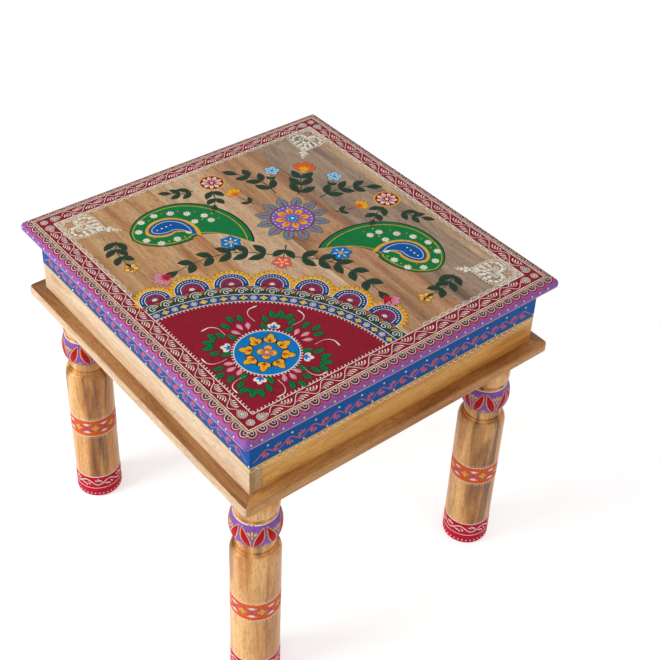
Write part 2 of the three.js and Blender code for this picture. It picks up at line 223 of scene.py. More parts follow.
def mango_wood(name, pale, golden, brown, grain_axis="Y", seed=0.0, streak=0.5, sheen=0.42,
               lacquer=0.06, pores=0.5, knots=()):
    """Mango wood, planed or turned, sanded and sealed with satin lacquer. The eye gets wandering
    bands of honey and brown, growth lines a few millimetres apart, some grey-brown heart streaks,
    fine long fibres and short dark open pores."""
    material, tree = new_material(name)
    brown_tone = linear(brown)

    grain = {}
    for layer, across, along, shift, detail, roughness, distortion in WOOD_GRAIN:
        vector = stretched(tree, grain_axis, across, along, seed + shift)
        grain[layer] = add_node(
            tree, "ShaderNodeTexNoise",
            inputs={"Vector": vector, "Scale": 1.0, "Detail": detail, "Roughness": roughness,
                    "Distortion": distortion},
        ).outputs["Fac"]

    bent = add_node(
        tree, "ShaderNodeVectorMath", {"operation": "MULTIPLY_ADD"},
        {0: grain["wander"], 1: [GRAIN_WANDER] * 3, 2: stretched(tree, grain_axis, 17, 170, seed + 3.1)},
    ).outputs["Vector"]
    figure = add_node(
        tree, "ShaderNodeTexNoise", inputs={"Vector": bent, "Scale": 1.0, "Detail": 3.0, "Distortion": 0.4},
    ).outputs["Fac"]
    body = add_node(
        tree, "ShaderNodeValToRGB", inputs={"Fac": figure},
        stops=[(0.26, brown_tone), (0.44, linear(golden)), (0.64, linear(pale))],
    ).outputs["Color"]
    ring_phase = add_node(
        tree, "ShaderNodeMath", {"operation": "MULTIPLY"}, {0: figure, 1: GROWTH_LINES},
    ).outputs["Value"]
    ring_wave = add_node(tree, "ShaderNodeMath", {"operation": "SINE"}, {0: ring_phase}).outputs["Value"]
    ring_tone = add_node(
        tree, "ShaderNodeValToRGB", inputs={"Fac": ring_wave}, stops=[(0.2, grey(1.0)), (0.95, grey(0.84))],
    ).outputs["Color"]
    ringed = add_node(tree, "ShaderNodeMix", MULTIPLY_COLORS, {0: 1.0, 6: body, 7: ring_tone}).outputs[2]

    heart_mask = add_node(
        tree, "ShaderNodeValToRGB", inputs={"Fac": grain["heart"]},
        stops=[(0.54, grey(0)), (0.7, grey(streak))],
    ).outputs["Color"]
    toned = add_node(
        tree, "ShaderNodeMix", MIX_COLORS, {0: heart_mask, 6: ringed, 7: shade(brown_tone, 0.42)},
    ).outputs[2]

    fibre = grain["fibre"]
    fibre_tone = add_node(
        tree, "ShaderNodeValToRGB", inputs={"Fac": fibre},
        stops=[(0.25, grey(0.7)), (0.52, grey(1.0)), (0.8, grey(1.0))],
    ).outputs["Color"]
    fibred = add_node(tree, "ShaderNodeMix", MULTIPLY_COLORS, {0: 1.0, 6: toned, 7: fibre_tone}).outputs[2]

    pore_mask = add_node(
        tree, "ShaderNodeValToRGB", inputs={"Fac": grain["pore"]},
        stops=[(0.33, grey(pores)), (0.42, grey(0))],
    ).outputs["Color"]
    color = add_node(
        tree, "ShaderNodeMix", MIX_COLORS, {0: pore_mask, 6: fibred, 7: shade(brown_tone, 0.36)},
    ).outputs[2]

    for x, y, z, size in knots:
        coordinates = add_node(tree, "ShaderNodeTexCoord").outputs["Object"]
        offset = add_node(
            tree, "ShaderNodeVectorMath", {"operation": "SUBTRACT"},
            {0: coordinates, 1: (x * MM, y * MM, z * MM)},
        ).outputs["Vector"]
        squeeze = [1 / (size * MM)] * 3
        squeeze["XYZ".index(grain_axis)] = 1 / (size * KNOT_STRETCH * MM)
        local = add_node(
            tree, "ShaderNodeVectorMath", {"operation": "MULTIPLY"}, {0: offset, 1: squeeze},
        ).outputs["Vector"]
        wobble = add_node(
            tree, "ShaderNodeTexNoise", inputs={"Vector": local, "Scale": 1.3, "Detail": 3.0},
        ).outputs["Fac"]
        reach = add_node(tree, "ShaderNodeVectorMath", {"operation": "LENGTH"}, {0: local}).outputs["Value"]
        shaped = add_node(
            tree, "ShaderNodeMath", {"operation": "MULTIPLY_ADD"}, {0: wobble, 1: 1.1, 2: reach},
        ).outputs["Value"]
        knot_mask = add_node(
            tree, "ShaderNodeValToRGB", inputs={"Fac": shaped},
            stops=[(0.6, grey(0.9)), (0.8, grey(0.4)), (1.0, grey(0.0))],
        ).outputs["Color"]
        color = add_node(
            tree, "ShaderNodeMix", MIX_COLORS, {0: knot_mask, 6: color, 7: shade(brown_tone, 0.28)},
        ).outputs[2]

    gloss = add_node(
        tree, "ShaderNodeValToRGB", inputs={"Fac": fibre},
        stops=[(0.2, grey(sheen + 0.14)), (0.7, grey(sheen))],
    ).outputs["Color"]
    height = add_node(
        tree, "ShaderNodeMath", {"operation": "SUBTRACT"}, {0: fibre, 1: pore_mask},
    ).outputs["Value"]
    bump = add_node(
        tree, "ShaderNodeBump", inputs={"Height": height, "Strength": 0.3, "Distance": 0.15 * MM},
    ).outputs["Normal"]
    shader = add_node(
        tree, "ShaderNodeBsdfPrincipled",
        inputs={"Base Color": color, "Roughness": gloss, "Normal": bump, "IOR": 1.5,
                "Specular IOR Level": 0.25, "Coat Weight": lacquer, "Coat Roughness": 0.22},
    )
    add_node(tree, "ShaderNodeOutputMaterial", inputs={"Surface": shader.outputs["BSDF"]})
    return material


def enamel(name, hexa, grain_axis="Y", wear=0.12, gloss=0.42, shine=0.0):
    """Hand-brushed enamel on wood: an even colour with slight pooling and brush streaks, a soft
    gloss, and the grain of the wood just felt under the thin film."""
    material, tree = new_material(name)
    pooled = add_node(
        tree, "ShaderNodeTexNoise",
        inputs={"Vector": stretched(tree, grain_axis, 14, 30, 2.2), "Detail": 3.0},
    ).outputs["Fac"]
    brushed = add_node(
        tree, "ShaderNodeTexNoise",
        inputs={"Vector": stretched(tree, grain_axis, 0.9, 22, 7.9), "Detail": 3.0, "Roughness": 0.6},
    ).outputs["Fac"]
    color = linear(hexa)
    base = add_node(
        tree, "ShaderNodeValToRGB", inputs={"Fac": pooled},
        stops=[(0.3, shade(color, 1 - 1.6 * wear)), (0.5, color), (0.72, shade(color, 1 + wear))],
    ).outputs["Color"]
    streaks = add_node(
        tree, "ShaderNodeValToRGB", inputs={"Fac": brushed}, stops=[(0.3, grey(0.88)), (0.6, grey(1.0))],
    ).outputs["Color"]
    tone = add_node(tree, "ShaderNodeMix", MULTIPLY_COLORS, {0: 1.0, 6: base, 7: streaks}).outputs[2]
    rough = add_node(
        tree, "ShaderNodeValToRGB", inputs={"Fac": pooled},
        stops=[(0.3, grey(gloss)), (0.7, grey(gloss + 0.14))],
    ).outputs["Color"]
    bump = add_node(
        tree, "ShaderNodeBump", inputs={"Height": brushed, "Strength": 0.22, "Distance": 0.1 * MM},
    ).outputs["Normal"]
    shader = add_node(
        tree, "ShaderNodeBsdfPrincipled",
        inputs={"Base Color": tone, "Roughness": rough, "Normal": bump, "IOR": 1.5,
                "Specular IOR Level": shine},
    )
    add_node(tree, "ShaderNodeOutputMaterial", inputs={"Surface": shader.outputs["BSDF"]})
    return material


def zinc_steel(name):
    """Zinc plated steel hardware: pale grey, softly blotched by the plating, with fine drawn lines."""
    material, tree = new_material(name)
    blotch = add_node(
        tree, "ShaderNodeTexNoise", inputs={"Vector": stretched(tree, "Z", 2.5, 4.0, 1.0), "Detail": 3.0},
    ).outputs["Fac"]
    drawn = add_node(
        tree, "ShaderNodeTexNoise", inputs={"Vector": stretched(tree, "Z", 6.0, 0.35, 4.0), "Detail": 2.0},
    ).outputs["Fac"]
    base = add_node(
        tree, "ShaderNodeValToRGB", inputs={"Fac": blotch},
        stops=[(0.3, linear("9A9C9E")), (0.6, linear("BFC1C2"))],
    ).outputs["Color"]
    rough = add_node(
        tree, "ShaderNodeValToRGB", inputs={"Fac": blotch}, stops=[(0.3, grey(0.46)), (0.7, grey(0.28))],
    ).outputs["Color"]
    bump = add_node(
        tree, "ShaderNodeBump", inputs={"Height": drawn, "Strength": 0.25, "Distance": 0.05 * MM},
    ).outputs["Normal"]
    shader = add_node(
        tree, "ShaderNodeBsdfPrincipled",
        inputs={"Base Color": base, "Roughness": rough, "Normal": bump, "Metallic": 1.0},
    )
    add_node(tree, "ShaderNodeOutputMaterial", inputs={"Surface": shader.outputs["BSDF"]})
    return material


BOARD_WOODS = [
    mango_wood("mango_wood_honey", "D2A87A", "BE8C59", "94663F", seed=1.0, streak=0.3),
    mango_wood("mango_wood_orange_streaked", "D6A876", "C58D58", "965F3A", seed=13.0, streak=0.55,
               knots=[(6, 92, 390, 5)]),
    mango_wood("mango_wood_pale", "E6C6A0", "D2A981", "B07F57", seed=27.0, streak=0.25,
               knots=[(-20, -28, 390, 3.2)]),
    mango_wood("mango_wood_brown", "CE9F76", "B8845A", "83563A", seed=41.0, streak=0.55,
               knots=[(36, -101, 390, 5.5), (52, 120, 390, 4.0)]),
    mango_wood("mango_wood_grey_brown", "BA9D82", "9E826B", "6E5545", seed=58.0, streak=0.4),
    mango_wood("mango_wood_light_brown", "D6B18A", "B89270", "866A50", seed=66.0, streak=0.3),
]
SIDE_WOOD_X = mango_wood(
    "mango_wood_golden_side", "F4B968", "D99444", "8E5824", "X", seed=80.0, streak=0.85, pores=0.3)
SIDE_WOOD_Y = mango_wood(
    "mango_wood_pale_side", "F0D5B5", "E4C199", "CB9E72", "Y", seed=92.0, streak=0.2, pores=0.3,
    knots=[(-184.3, -136, 320, 2.6)])
END_WOOD = mango_wood(
    "mango_wood_end_grain", "DFB88C", "C29A6C", "94724C", "Z", seed=97.0, streak=0.2, sheen=0.6)
PALE_END_WOOD = mango_wood(
    "mango_wood_pale_end_grain", "F0D6B4", "E2C095", "C79C70", "Z", seed=99.0, streak=0.1, sheen=0.6,
    pores=0.2)
MOULDING_WOOD_X = mango_wood(
    "mango_wood_moulding_across", "D49A5C", "B5763C", "744622", "X", seed=104.0, pores=0.4)
MOULDING_WOOD_Y = mango_wood(
    "mango_wood_moulding_along", "BE8B58", "9E6A3C", "6C4626", "Y", seed=118.0, pores=0.4)
# Paler copy of the moulding wood: a painted highlight where the key light falls on the front-left lip
KEY_LIT_LIP_WOOD = mango_wood(
    "mango_wood_moulding_lip_painted_highlight", "EFD2B0", "DFBA92", "B98F66", "Y", seed=126.0, pores=0.4, streak=0.3)
LEG_WOODS = {
    name: mango_wood(
        f"mango_wood_turned_{name}", "FFC67C", "DE964C", "7C4820", "Z", seed=130.0 + 17 * i, streak=0.9,
        lacquer=0.4, pores=0.4)
    for i, name in enumerate(LEG_NAMES)
}
INNER_WOOD_X = mango_wood(
    "mango_wood_sawn_batten", "CDAE84", "B7925F", "96704A", "X", seed=210.0, sheen=0.66)
INNER_WOOD_Y = mango_wood(
    "mango_wood_sawn_block", "C8A67A", "B08A5A", "8C6844", "Y", seed=222.0, sheen=0.66)
ZINC = zinc_steel("zinc_plated_steel")
# Where the coat is thick its gloss is stronger than on the rest
PLAIN_SHINE = 0.07
GLOSSY_PAINTS = {"violet": 0.25, "blue": 0.08}
ENAMELS = {
    color: enamel(f"enamel_{color}", hexa, shine=GLOSSY_PAINTS.get(color, PLAIN_SHINE))
    for color, hexa in PAINTS.items()
}


# Places on a plane
def swung(u, v, reach, turn):
    """The place at a distance from another one, in a direction."""
    return u + reach * math.cos(turn), v + reach * math.sin(turn)


def placed(u, v, angle, a, b):
    """The place that lies a along a heading from another one, and b to the left of it."""
    cosine, sine = math.cos(angle), math.sin(angle)
    return u + a * cosine - b * sine, v + a * sine + b * cosine


def ring_places(u, v, radius, count):
    """Places evenly spaced on a circle."""
    return [swung(u, v, radius, TURN * i / count) for i in range(count)]


def arc(u, v, radius, start, end, steps=10):
    return [swung(u, v, radius, start + (end - start) * i / steps) for i in range(steps + 1)]


# Meshes
SAME_POINT = 0.002
ON_PLANE = 0.0005
HOLE_SIDES = 20


def finish_piece(piece, nodes=(), sharp_angle=38.0):
    """Smooth shading with the sharp edges kept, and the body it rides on."""
    mesh = piece.data
    mesh.polygons.foreach_set("use_smooth", [True] * len(mesh.polygons))
    mesh.set_sharp_from_angle(angle=math.radians(sharp_angle))
    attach(piece, "root")
    if nodes:
        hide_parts(*nodes)


def piece_from_bmesh(name, bm, materials):
    bmesh.ops.recalc_face_normals(bm, faces=bm.faces)
    mesh = bpy.data.meshes.new(name)
    bm.to_mesh(mesh)
    bm.free()
    for material in materials:
        mesh.materials.append(material)
    mesh.transform(Matrix.Scale(MM, 4))
    piece = bpy.data.objects.new(name, mesh)
    bpy.context.scene.collection.objects.link(piece)
    return piece


def rounded_loop(half_x, half_y, radius, z, steps=6):
    """Corner by corner, the points of a rectangle with rounded corners."""
    points = []
    for corner, (sx, sy) in enumerate(((1, 1), (-1, 1), (-1, -1), (1, -1))):
        for i in range(steps + 1):
            angle = QUARTER * (corner + i / steps)
            place = swung(sx * (half_x - radius), sy * (half_y - radius), radius, angle)
            points.append(Vector((*place, z)))
    return points


def join_rows(bm, first, second):
    """The faces between two rings with as many corners."""
    faces = []
    for i in range(len(first)):
        j = (i + 1) % len(first)
        faces.append(bm.faces.new((first[i], first[j], second[j], second[i])))
    return faces


def ring_body(loops, ring_materials, close_ends):
    """Loops of equal length joined in order. The ends are closed by a face each, or joined."""
    bm = bmesh.new()
    rows = [[bm.verts.new(p) for p in loop] for loop in loops]
    pairs = list(zip(rows, rows[1:]))
    if not close_ends:
        pairs.append((rows[-1], rows[0]))
    for index, (first, second) in enumerate(pairs):
        for face in join_rows(bm, first, second):
            face.material_index = ring_materials[index]
    if close_ends:
        bm.faces.new(rows[0]).material_index = 0
        bm.faces.new(list(reversed(rows[-1]))).material_index = 0
    bmesh.ops.remove_doubles(bm, verts=bm.verts, dist=SAME_POINT)
    return bm


def keep_side(bm, point, normal, cut_material=0):
    """Cuts away what lies on the normal's side of a plane, and closes the cut."""
    geometry = bm.verts[:] + bm.edges[:] + bm.faces[:]
    cut = bmesh.ops.bisect_plane(
        bm, geom=geometry, dist=ON_PLANE, plane_co=point, plane_no=normal, clear_outer=True,
    )["geom_cut"]
    edges = [e for e in cut if isinstance(e, bmesh.types.BMEdge)]
    for face in bmesh.ops.contextual_create(bm, geom=edges)["faces"]:
        face.material_index = cut_material


def drill(piece, name, holes):
    """Cuts round holes, each given by the radii and levels of a short stack of cones."""
    bm = bmesh.new()
    for x, y, outline in holes:
        rows = []
        for radius, z in outline:
            rows.append([bm.verts.new((*place, z)) for place in ring_places(x, y, radius, HOLE_SIDES)])
        for first, second in zip(rows, rows[1:]):
            join_rows(bm, first, second)
        bm.faces.new(rows[0])
        bm.faces.new(rows[-1])
    cutter = piece_from_bmesh(name, bm, [])
    modifier = piece.modifiers.new("holes", "BOOLEAN")
    modifier.object = cutter
    modifier.operation = "DIFFERENCE"
    modifier.solver = "EXACT"
    bpy.context.view_layer.update()
    drilled = piece.evaluated_get(bpy.context.evaluated_depsgraph_get())
    cut_mesh = bpy.data.meshes.new_from_object(drilled)
    piece.modifiers.clear()
    piece.data = cut_mesh
    bpy.data.objects.remove(cutter)


# Outline of the top's edge from the outer line down to the underside
OVOLO_STEPS = 12
EDGE_OUTLINE = []
for i in range(OVOLO_STEPS + 1):
    angle = QUARTER * i / OVOLO_STEPS
    inset = OVOLO_REACH * (1 - math.sin(angle))
    EDGE_OUTLINE.append((inset, TOP_Z - OVOLO_DROP * (1 - math.cos(angle))))
ROUND_STEPS = 4
for i in range(ROUND_STEPS + 1):
    angle = QUARTER * i / ROUND_STEPS
    inset = LOWER_ROUND * (1 - math.cos(angle))
    EDGE_OUTLINE.append((inset, TOP_UNDER + LOWER_ROUND * (1 - math.sin(angle))))


# Holes for the frame's 4 mm screws and 8 mm bolts
SCREW_HEAD_HOLE = 4.2
SCREW_HOLE = 2.2
SCREW_HEAD_DEPTH = 2.5
SCREW_TIP_PLAY = 0.3
BOLT_HOLE = 4.6
DRILL_OVERRUN = 3.0


def screw_holes(prefix):
    """Countersunk holes, head down, for the frame's screws whose names start so."""
    holes = []
    for name in frame["nodes"]:
        if name.startswith(prefix):
            low, high = box_mm(name)
            outline = [
                (SCREW_HEAD_HOLE, low.z - DRILL_OVERRUN),
                (SCREW_HEAD_HOLE, low.z),
                (SCREW_HOLE, low.z + SCREW_HEAD_DEPTH),
                (SCREW_HOLE, high.z + SCREW_TIP_PLAY),
            ]
            holes.append(((low.x + high.x) / 2, (low.y + high.y) / 2, outline))
    return holes


def build_top_boards():
    """Six boards cut from one slab: bare wood inside the inner line, crimson from there to the
    outer line, and violet round the moulded edge."""
    loops = [rounded_loop(TOP_HALF_X - INNER_LINE, TOP_HALF_Y - INNER_LINE, 0, TOP_Z)]
    for inset, z in EDGE_OUTLINE:
        radius = max(TOP_CORNER - inset, 0)
        loops.append(rounded_loop(TOP_HALF_X - inset, TOP_HALF_Y - inset, radius, z))
    ring_materials = [1] + [2] * (len(EDGE_OUTLINE) - 1)
    slab = ring_body(loops, ring_materials, close_ends=True)
    cuts = [None] + SEAMS + [None]
    for index, (left, right) in enumerate(zip(cuts, cuts[1:])):
        bm = slab.copy()
        if left is not None:
            keep_side(bm, (left + SEAM_GAP / 2, 0, TOP_Z), (-1, 0, 0))
        if right is not None:
            keep_side(bm, (right - SEAM_GAP / 2, 0, TOP_Z), (1, 0, 0))
        number = index + 1
        board = piece_from_bmesh(
            f"painted_board_{number}", bm,
            [BOARD_WOODS[index], ENAMELS["crimson"], ENAMELS["violet"]],
        )
        low, high = BOARD_BOXES[index]
        holes = [hole for hole in screw_holes("batten_screw_") if low.x < hole[0] < high.x]
        if holes:
            drill(board, f"board_drill_{number}", holes)
        finish_piece(board, [f"top_board_{number}"])
    slab.free()


def box_with_levels(low, high, levels):
    """A box whose upright faces are split at the given levels."""
    bm = bmesh.new()
    rows = []
    for z in [low.z, *levels, high.z]:
        corners = ((low.x, low.y, z), (high.x, low.y, z), (high.x, high.y, z), (low.x, high.y, z))
        rows.append([bm.verts.new(p) for p in corners])
    bm.faces.new(list(reversed(rows[0])))
    bm.faces.new(rows[-1])
    for first, second in zip(rows, rows[1:]):
        join_rows(bm, first, second)
    return bm


# Glue and paint close the butt joint of the box sides
SEAM_FILL = 0.27
BOX_SIDES = (("front_right", "X"), ("back_left", "X"), ("front_left", "Y"), ("back_right", "Y"))


def build_box_sides():
    """Box sides: raw wood below, a blue band on what shows above. At every corner one side runs
    past the next one and shows its end grain."""
    reach = {"X": APRON_HALF_X, "Y": APRON_HALF_Y}
    for name, axis in BOX_SIDES:
        low, high = box_mm(f"apron_{name}")
        across = "XY".index(axis)
        if low[across] > 1 - reach[axis]:
            low[across] -= SEAM_FILL
        if high[across] < reach[axis] - 1:
            high[across] += SEAM_FILL
        bm = box_with_levels(low, high, [BLUE_LOW])

        def is_through(point):
            value = point.x if axis == "X" else point.y
            return abs(value) > reach[axis] - EASED_EDGE - 0.01

        upright = [
            e for e in bm.edges
            if abs(e.verts[0].co.z - e.verts[1].co.z) > 1 and is_through(e.verts[0].co)
        ]
        bmesh.ops.bevel(bm, geom=upright, offset=EASED_EDGE, segments=3, affect="EDGES", profile=0.5)
        for face in bm.faces:
            centre = face.calc_center_median()
            face.normal_update()
            along = face.normal.x if axis == "X" else face.normal.y
            beyond = (abs(centre.x) - APRON_HALF_X, abs(centre.y) - APRON_HALF_Y)
            if max(beyond) > -EASED_EDGE and centre.z > BLUE_LOW:
                face.material_index = 1
            elif abs(along) > 0.9 and is_through(centre):
                face.material_index = 2
        wood = SIDE_WOOD_X if axis == "X" else SIDE_WOOD_Y
        end_wood = PALE_END_WOOD if name == "back_left" else END_WOOD
        side = piece_from_bmesh(f"box_side_{name}", bm, [wood, ENAMELS["blue"], end_wood])
        drill(side, f"side_drill_{name}", screw_holes(f"moulding_screw_{name}_"))
        finish_piece(side, [f"apron_{name}"])


# Base moulding: its outer edges and its four corners are rounded, and its mitres are glued
MOULDING_EDGE_SHARE = 0.22
MOULDING_EDGE_STEPS = 6
MOULDING_CORNER = 6.0
MITRE_GAP = 0.1
# The front-left lip gets a paler wood as a painted highlight of the key light, and the lip starts where the
# rounding is steeper than this
LIP_STEEPNESS = 0.8


def build_mouldings():
    thickness = APRON_LOW - MOULDING_LOW
    edge = MOULDING_EDGE_SHARE * thickness
    width = MOULDING_HALF_X - MOULDING_INNER_X
    outline = [(width, MOULDING_LOW), (width, APRON_LOW)]
    for level, first in ((APRON_LOW - edge, QUARTER), (MOULDING_LOW + edge, TURN / 2)):
        outline += arc(edge, level, edge, first, first + QUARTER, MOULDING_EDGE_STEPS)
    loops = [
        rounded_loop(MOULDING_HALF_X - d, MOULDING_HALF_Y - d, max(MOULDING_CORNER - d, 0), z)
        for d, z in outline
    ]
    whole = ring_body(loops, [0] * len(outline), close_ends=False)
    shift = MOULDING_HALF_Y - MOULDING_HALF_X
    mitres = {
        "front_right": [((-1, 1, 0), -shift), ((1, 1, 0), -shift)],
        "back_left": [((-1, -1, 0), -shift), ((1, -1, 0), -shift)],
        "front_left": [((1, -1, 0), shift), ((1, 1, 0), shift)],
        "back_right": [((-1, -1, 0), shift), ((-1, 1, 0), shift)],
    }
    for name, planes in mitres.items():
        bm = whole.copy()
        for normal, offset in planes:
            direction = Vector(normal).normalized()
            keep_side(bm, direction * ((offset - MITRE_GAP) / ROOT2), direction)
        wood = MOULDING_WOOD_X if name in ("front_right", "back_left") else MOULDING_WOOD_Y
        materials = [wood]
        # The front-left lip, which faces the key light, gets the paler wood as a painted highlight
        if name == "front_left":
            materials.append(KEY_LIT_LIP_WOOD)
            for face in bm.faces:
                face.normal_update()
                face.material_index = int(abs(face.normal.z) < LIP_STEEPNESS)
        rail = piece_from_bmesh(f"moulding_{name}", bm, materials)
        holes = screw_holes(f"moulding_screw_{name}_")
        low, high = box_mm(f"base_moulding_{name}")
        bolt_outline = [(BOLT_HOLE, MOULDING_LOW - DRILL_OVERRUN), (BOLT_HOLE, APRON_LOW + DRILL_OVERRUN)]
        for axis in LEG_AXES.values():
            if low.x < axis.x < high.x and low.y < axis.y < high.y:
                holes.append((axis.x, axis.y, bolt_outline))
        drill(rail, f"moulding_drill_{name}", holes)
        finish_piece(rail, [f"base_moulding_{name}"])
    whole.free()


# Turned leg: the same forms as the frame's leg, with finer steps. Heights where its forms and its
# paint begin, from the floor up, then the heights and radii of the forms
FOOT_TOP = 33.5
BAND_LOW = 103.0
BAND_HIGH = 128.0
LEG_NECK = MOULDING_LOW - 106.0
RING_LOW = LEG_NECK + 13.0
BALL_LOW = LEG_NECK + 25.0
BALL_PAINT_LOW = BALL_LOW + 1.5
BALL_PAINT_HIGH = BALL_LOW + 33.0
BEAD_LOW = BALL_LOW + 37.0
COVE_LOW = BALL_LOW + 54.0
FOOT_EDGE = 3.5
FOOT_RADIUS = 27.0
BODY_RADIUS = 26.6
SHOULDER_HEIGHT = 10.0
SHOULDER_RADIUS = 22.2
FILLET_RADIUS = 21.6
LEG_SIDES = 72
LEG_PAINTS = (
    ("foot_red", 0.0, FOOT_TOP),
    ("orange", BAND_LOW, BAND_HIGH),
    ("violet", BALL_PAINT_LOW, BALL_PAINT_HIGH),
)
LEG_BOLT_HOLE = 4.3
LEG_BOLT_DEPTH = 40.3


def half_ellipse(level, height, end_radius, middle_radius, steps):
    """A turned bulge or hollow: heights and radii from its lower end to its upper end."""
    points = []
    for i in range(steps + 1):
        angle = TURN / 2 * i / steps
        radius = end_radius + (middle_radius - end_radius) * math.sin(angle)
        points.append((level + height / 2 * (1 - math.cos(angle)), radius))
    return points


def leg_outline():
    """Height and radius of the leg's outside, from its sole to the moulding."""
    points = [(0.0, FOOT_RADIUS - FOOT_EDGE)]
    edge_steps = 6
    for i in range(1, edge_steps + 1):
        angle = QUARTER * i / edge_steps
        rise, swell = FOOT_EDGE * (1 - math.cos(angle)), FOOT_EDGE * math.sin(angle)
        points.append((rise, FOOT_RADIUS - FOOT_EDGE + swell))
    points += [(10.0, 27.0), (24.0, 27.0), (29.0, 26.9), (32.0, 26.7), (FOOT_TOP, BODY_RADIUS)]
    points += [(38.0, 26.55), (BAND_LOW, BODY_RADIUS), (BAND_HIGH, BODY_RADIUS), (LEG_NECK, BODY_RADIUS)]
    shoulder_steps = 10
    for i in range(1, shoulder_steps + 1):
        angle = QUARTER * i / shoulder_steps
        swell = (BODY_RADIUS - SHOULDER_RADIUS) * math.cos(angle)
        points.append((LEG_NECK + SHOULDER_HEIGHT * math.sin(angle), SHOULDER_RADIUS + swell))
    points += [(LEG_NECK + 10.3, FILLET_RADIUS), (LEG_NECK + 12.6, FILLET_RADIUS), (RING_LOW, 21.0)]
    points += half_ellipse(RING_LOW, 12, 19.4, 21.2, 12)
    points += half_ellipse(BALL_LOW, 35, 19.0, 27.2, 30)
    points += [(BALL_LOW + 35.6, 19.6), (BEAD_LOW, 21.4)]
    points += half_ellipse(BEAD_LOW, 17, 21.4, 24.4, 12)[1:]
    points += half_ellipse(COVE_LOW, 10, 21.4, 20.4, 8)[1:]
    collar = ((64.0, 23.5), (64.6, 24.6), (66.5, 25.8), (69.0, 26.0))
    points += [(BALL_LOW + rise, radius) for rise, radius in collar] + [(MOULDING_LOW, 26.0)]
    kept = [points[0]]
    for z, radius in points[1:]:
        if z > kept[-1][0] + 1e-6 or abs(radius - kept[-1][1]) > 1e-6:
            kept.append((max(z, kept[-1][0]), radius))
    return kept


LEG_OUTLINE = leg_outline()
LEG_LEVELS = [z for z, _ in LEG_OUTLINE]


def leg_radius(z):
    i = min(max(bisect_right(LEG_LEVELS, z) - 1, 0), len(LEG_OUTLINE) - 2)
    (z0, r0), (z1, r1) = LEG_OUTLINE[i], LEG_OUTLINE[i + 1]
    return r0 + (r1 - r0) * (z - z0) / (z1 - z0) if z1 > z0 else r0


def build_legs():
    """Turned legs: bare wood with the foot, a band and the ball painted, and a hole for the bolt."""
    outline = [(0.0, 0.0)] + LEG_OUTLINE
    for level in (BALL_PAINT_LOW, BALL_PAINT_HIGH):
        if all(abs(level - z) > 0.05 for z, _ in outline):
            outline.append((level, leg_radius(level)))
    outline = sorted(outline[:2]) + sorted(outline[2:], key=lambda p: p[0])
    hole_bottom = MOULDING_LOW - LEG_BOLT_DEPTH
    outline += [(MOULDING_LOW, LEG_BOLT_HOLE), (hole_bottom, LEG_BOLT_HOLE), (hole_bottom, 0.0)]
    for name, axis in LEG_AXES.items():
        bm = bmesh.new()
        rows = []
        for z, radius in outline:
            places = ring_places(axis.x, axis.y, radius, LEG_SIDES) if radius else [(axis.x, axis.y)]
            rows.append([bm.verts.new((*place, z)) for place in places])
        for (first, second), (z0, r0), (z1, r1) in zip(zip(rows, rows[1:]), outline, outline[1:]):
            paint = 0
            for index, (_, low, high) in enumerate(LEG_PAINTS, start=1):
                if low < (z0 + z1) / 2 < high and min(r0, r1) > LEG_BOLT_HOLE:
                    paint = index
            for i in range(LEG_SIDES):
                j = (i + 1) % LEG_SIDES
                round_trip = ((first, i), (first, j), (second, j), (second, i))
                corners = [row[k % len(row)] for row, k in round_trip]
                unique = [v for k, v in enumerate(corners) if v not in corners[:k]]
                bm.faces.new(unique).material_index = paint
        materials = [LEG_WOODS[name], *(ENAMELS[color] for color, _, _ in LEG_PAINTS)]
        leg = piece_from_bmesh(f"turned_leg_{name}", bm, materials)
        finish_piece(leg, [f"leg_{name}"], sharp_angle=50.0)


def dress_hidden_pieces():
    """Battens, blocks and hardware keep the frame's shape and get their own finish."""
    for name, node in frame["nodes"].items():
        if name.startswith(("batten_screw", "moulding_screw", "hanger_bolt", "washer", "nut")):
            material = ZINC
        elif name.startswith("batten_"):
            material = INNER_WOOD_X
        elif name.startswith("corner_block"):
            material = INNER_WOOD_Y
        else:
            continue
        node.data.materials.clear()
        node.data.materials.append(material)


# Surfaces to paint on. Each gives the point that lies u along, v across and h above it.
def flat_surface(origin, along, across):
    origin, along, across = Vector(origin), Vector(along), Vector(across)
    normal = along.cross(across).normalized()

    def at(u, v, h):
        return origin + along * u + across * v + normal * h
    return at


TOP_SURFACE = flat_surface((0, 0, TOP_Z), (1, 0, 0), (0, 1, 0))

# The four sides: outward direction, direction to the right as seen from outside, half length of
# the top's edge and how far out it is, then the same of the box
SIDES = {
    "front_right": ((0, -1, 0), (1, 0, 0), TOP_HALF_X, TOP_HALF_Y, APRON_HALF_X, APRON_HALF_Y),
    "back_right": ((1, 0, 0), (0, 1, 0), TOP_HALF_Y, TOP_HALF_X, APRON_HALF_Y, APRON_HALF_X),
    "back_left": ((0, 1, 0), (-1, 0, 0), TOP_HALF_X, TOP_HALF_Y, APRON_HALF_X, APRON_HALF_Y),
    "front_left": ((-1, 0, 0), (0, -1, 0), TOP_HALF_Y, TOP_HALF_X, APRON_HALF_Y, APRON_HALF_X),
}

EDGE_LENGTHS = [0.0]
for (d0, z0), (d1, z1) in zip(EDGE_OUTLINE, EDGE_OUTLINE[1:]):
    EDGE_LENGTHS.append(EDGE_LENGTHS[-1] + math.hypot(d1 - d0, z1 - z0))


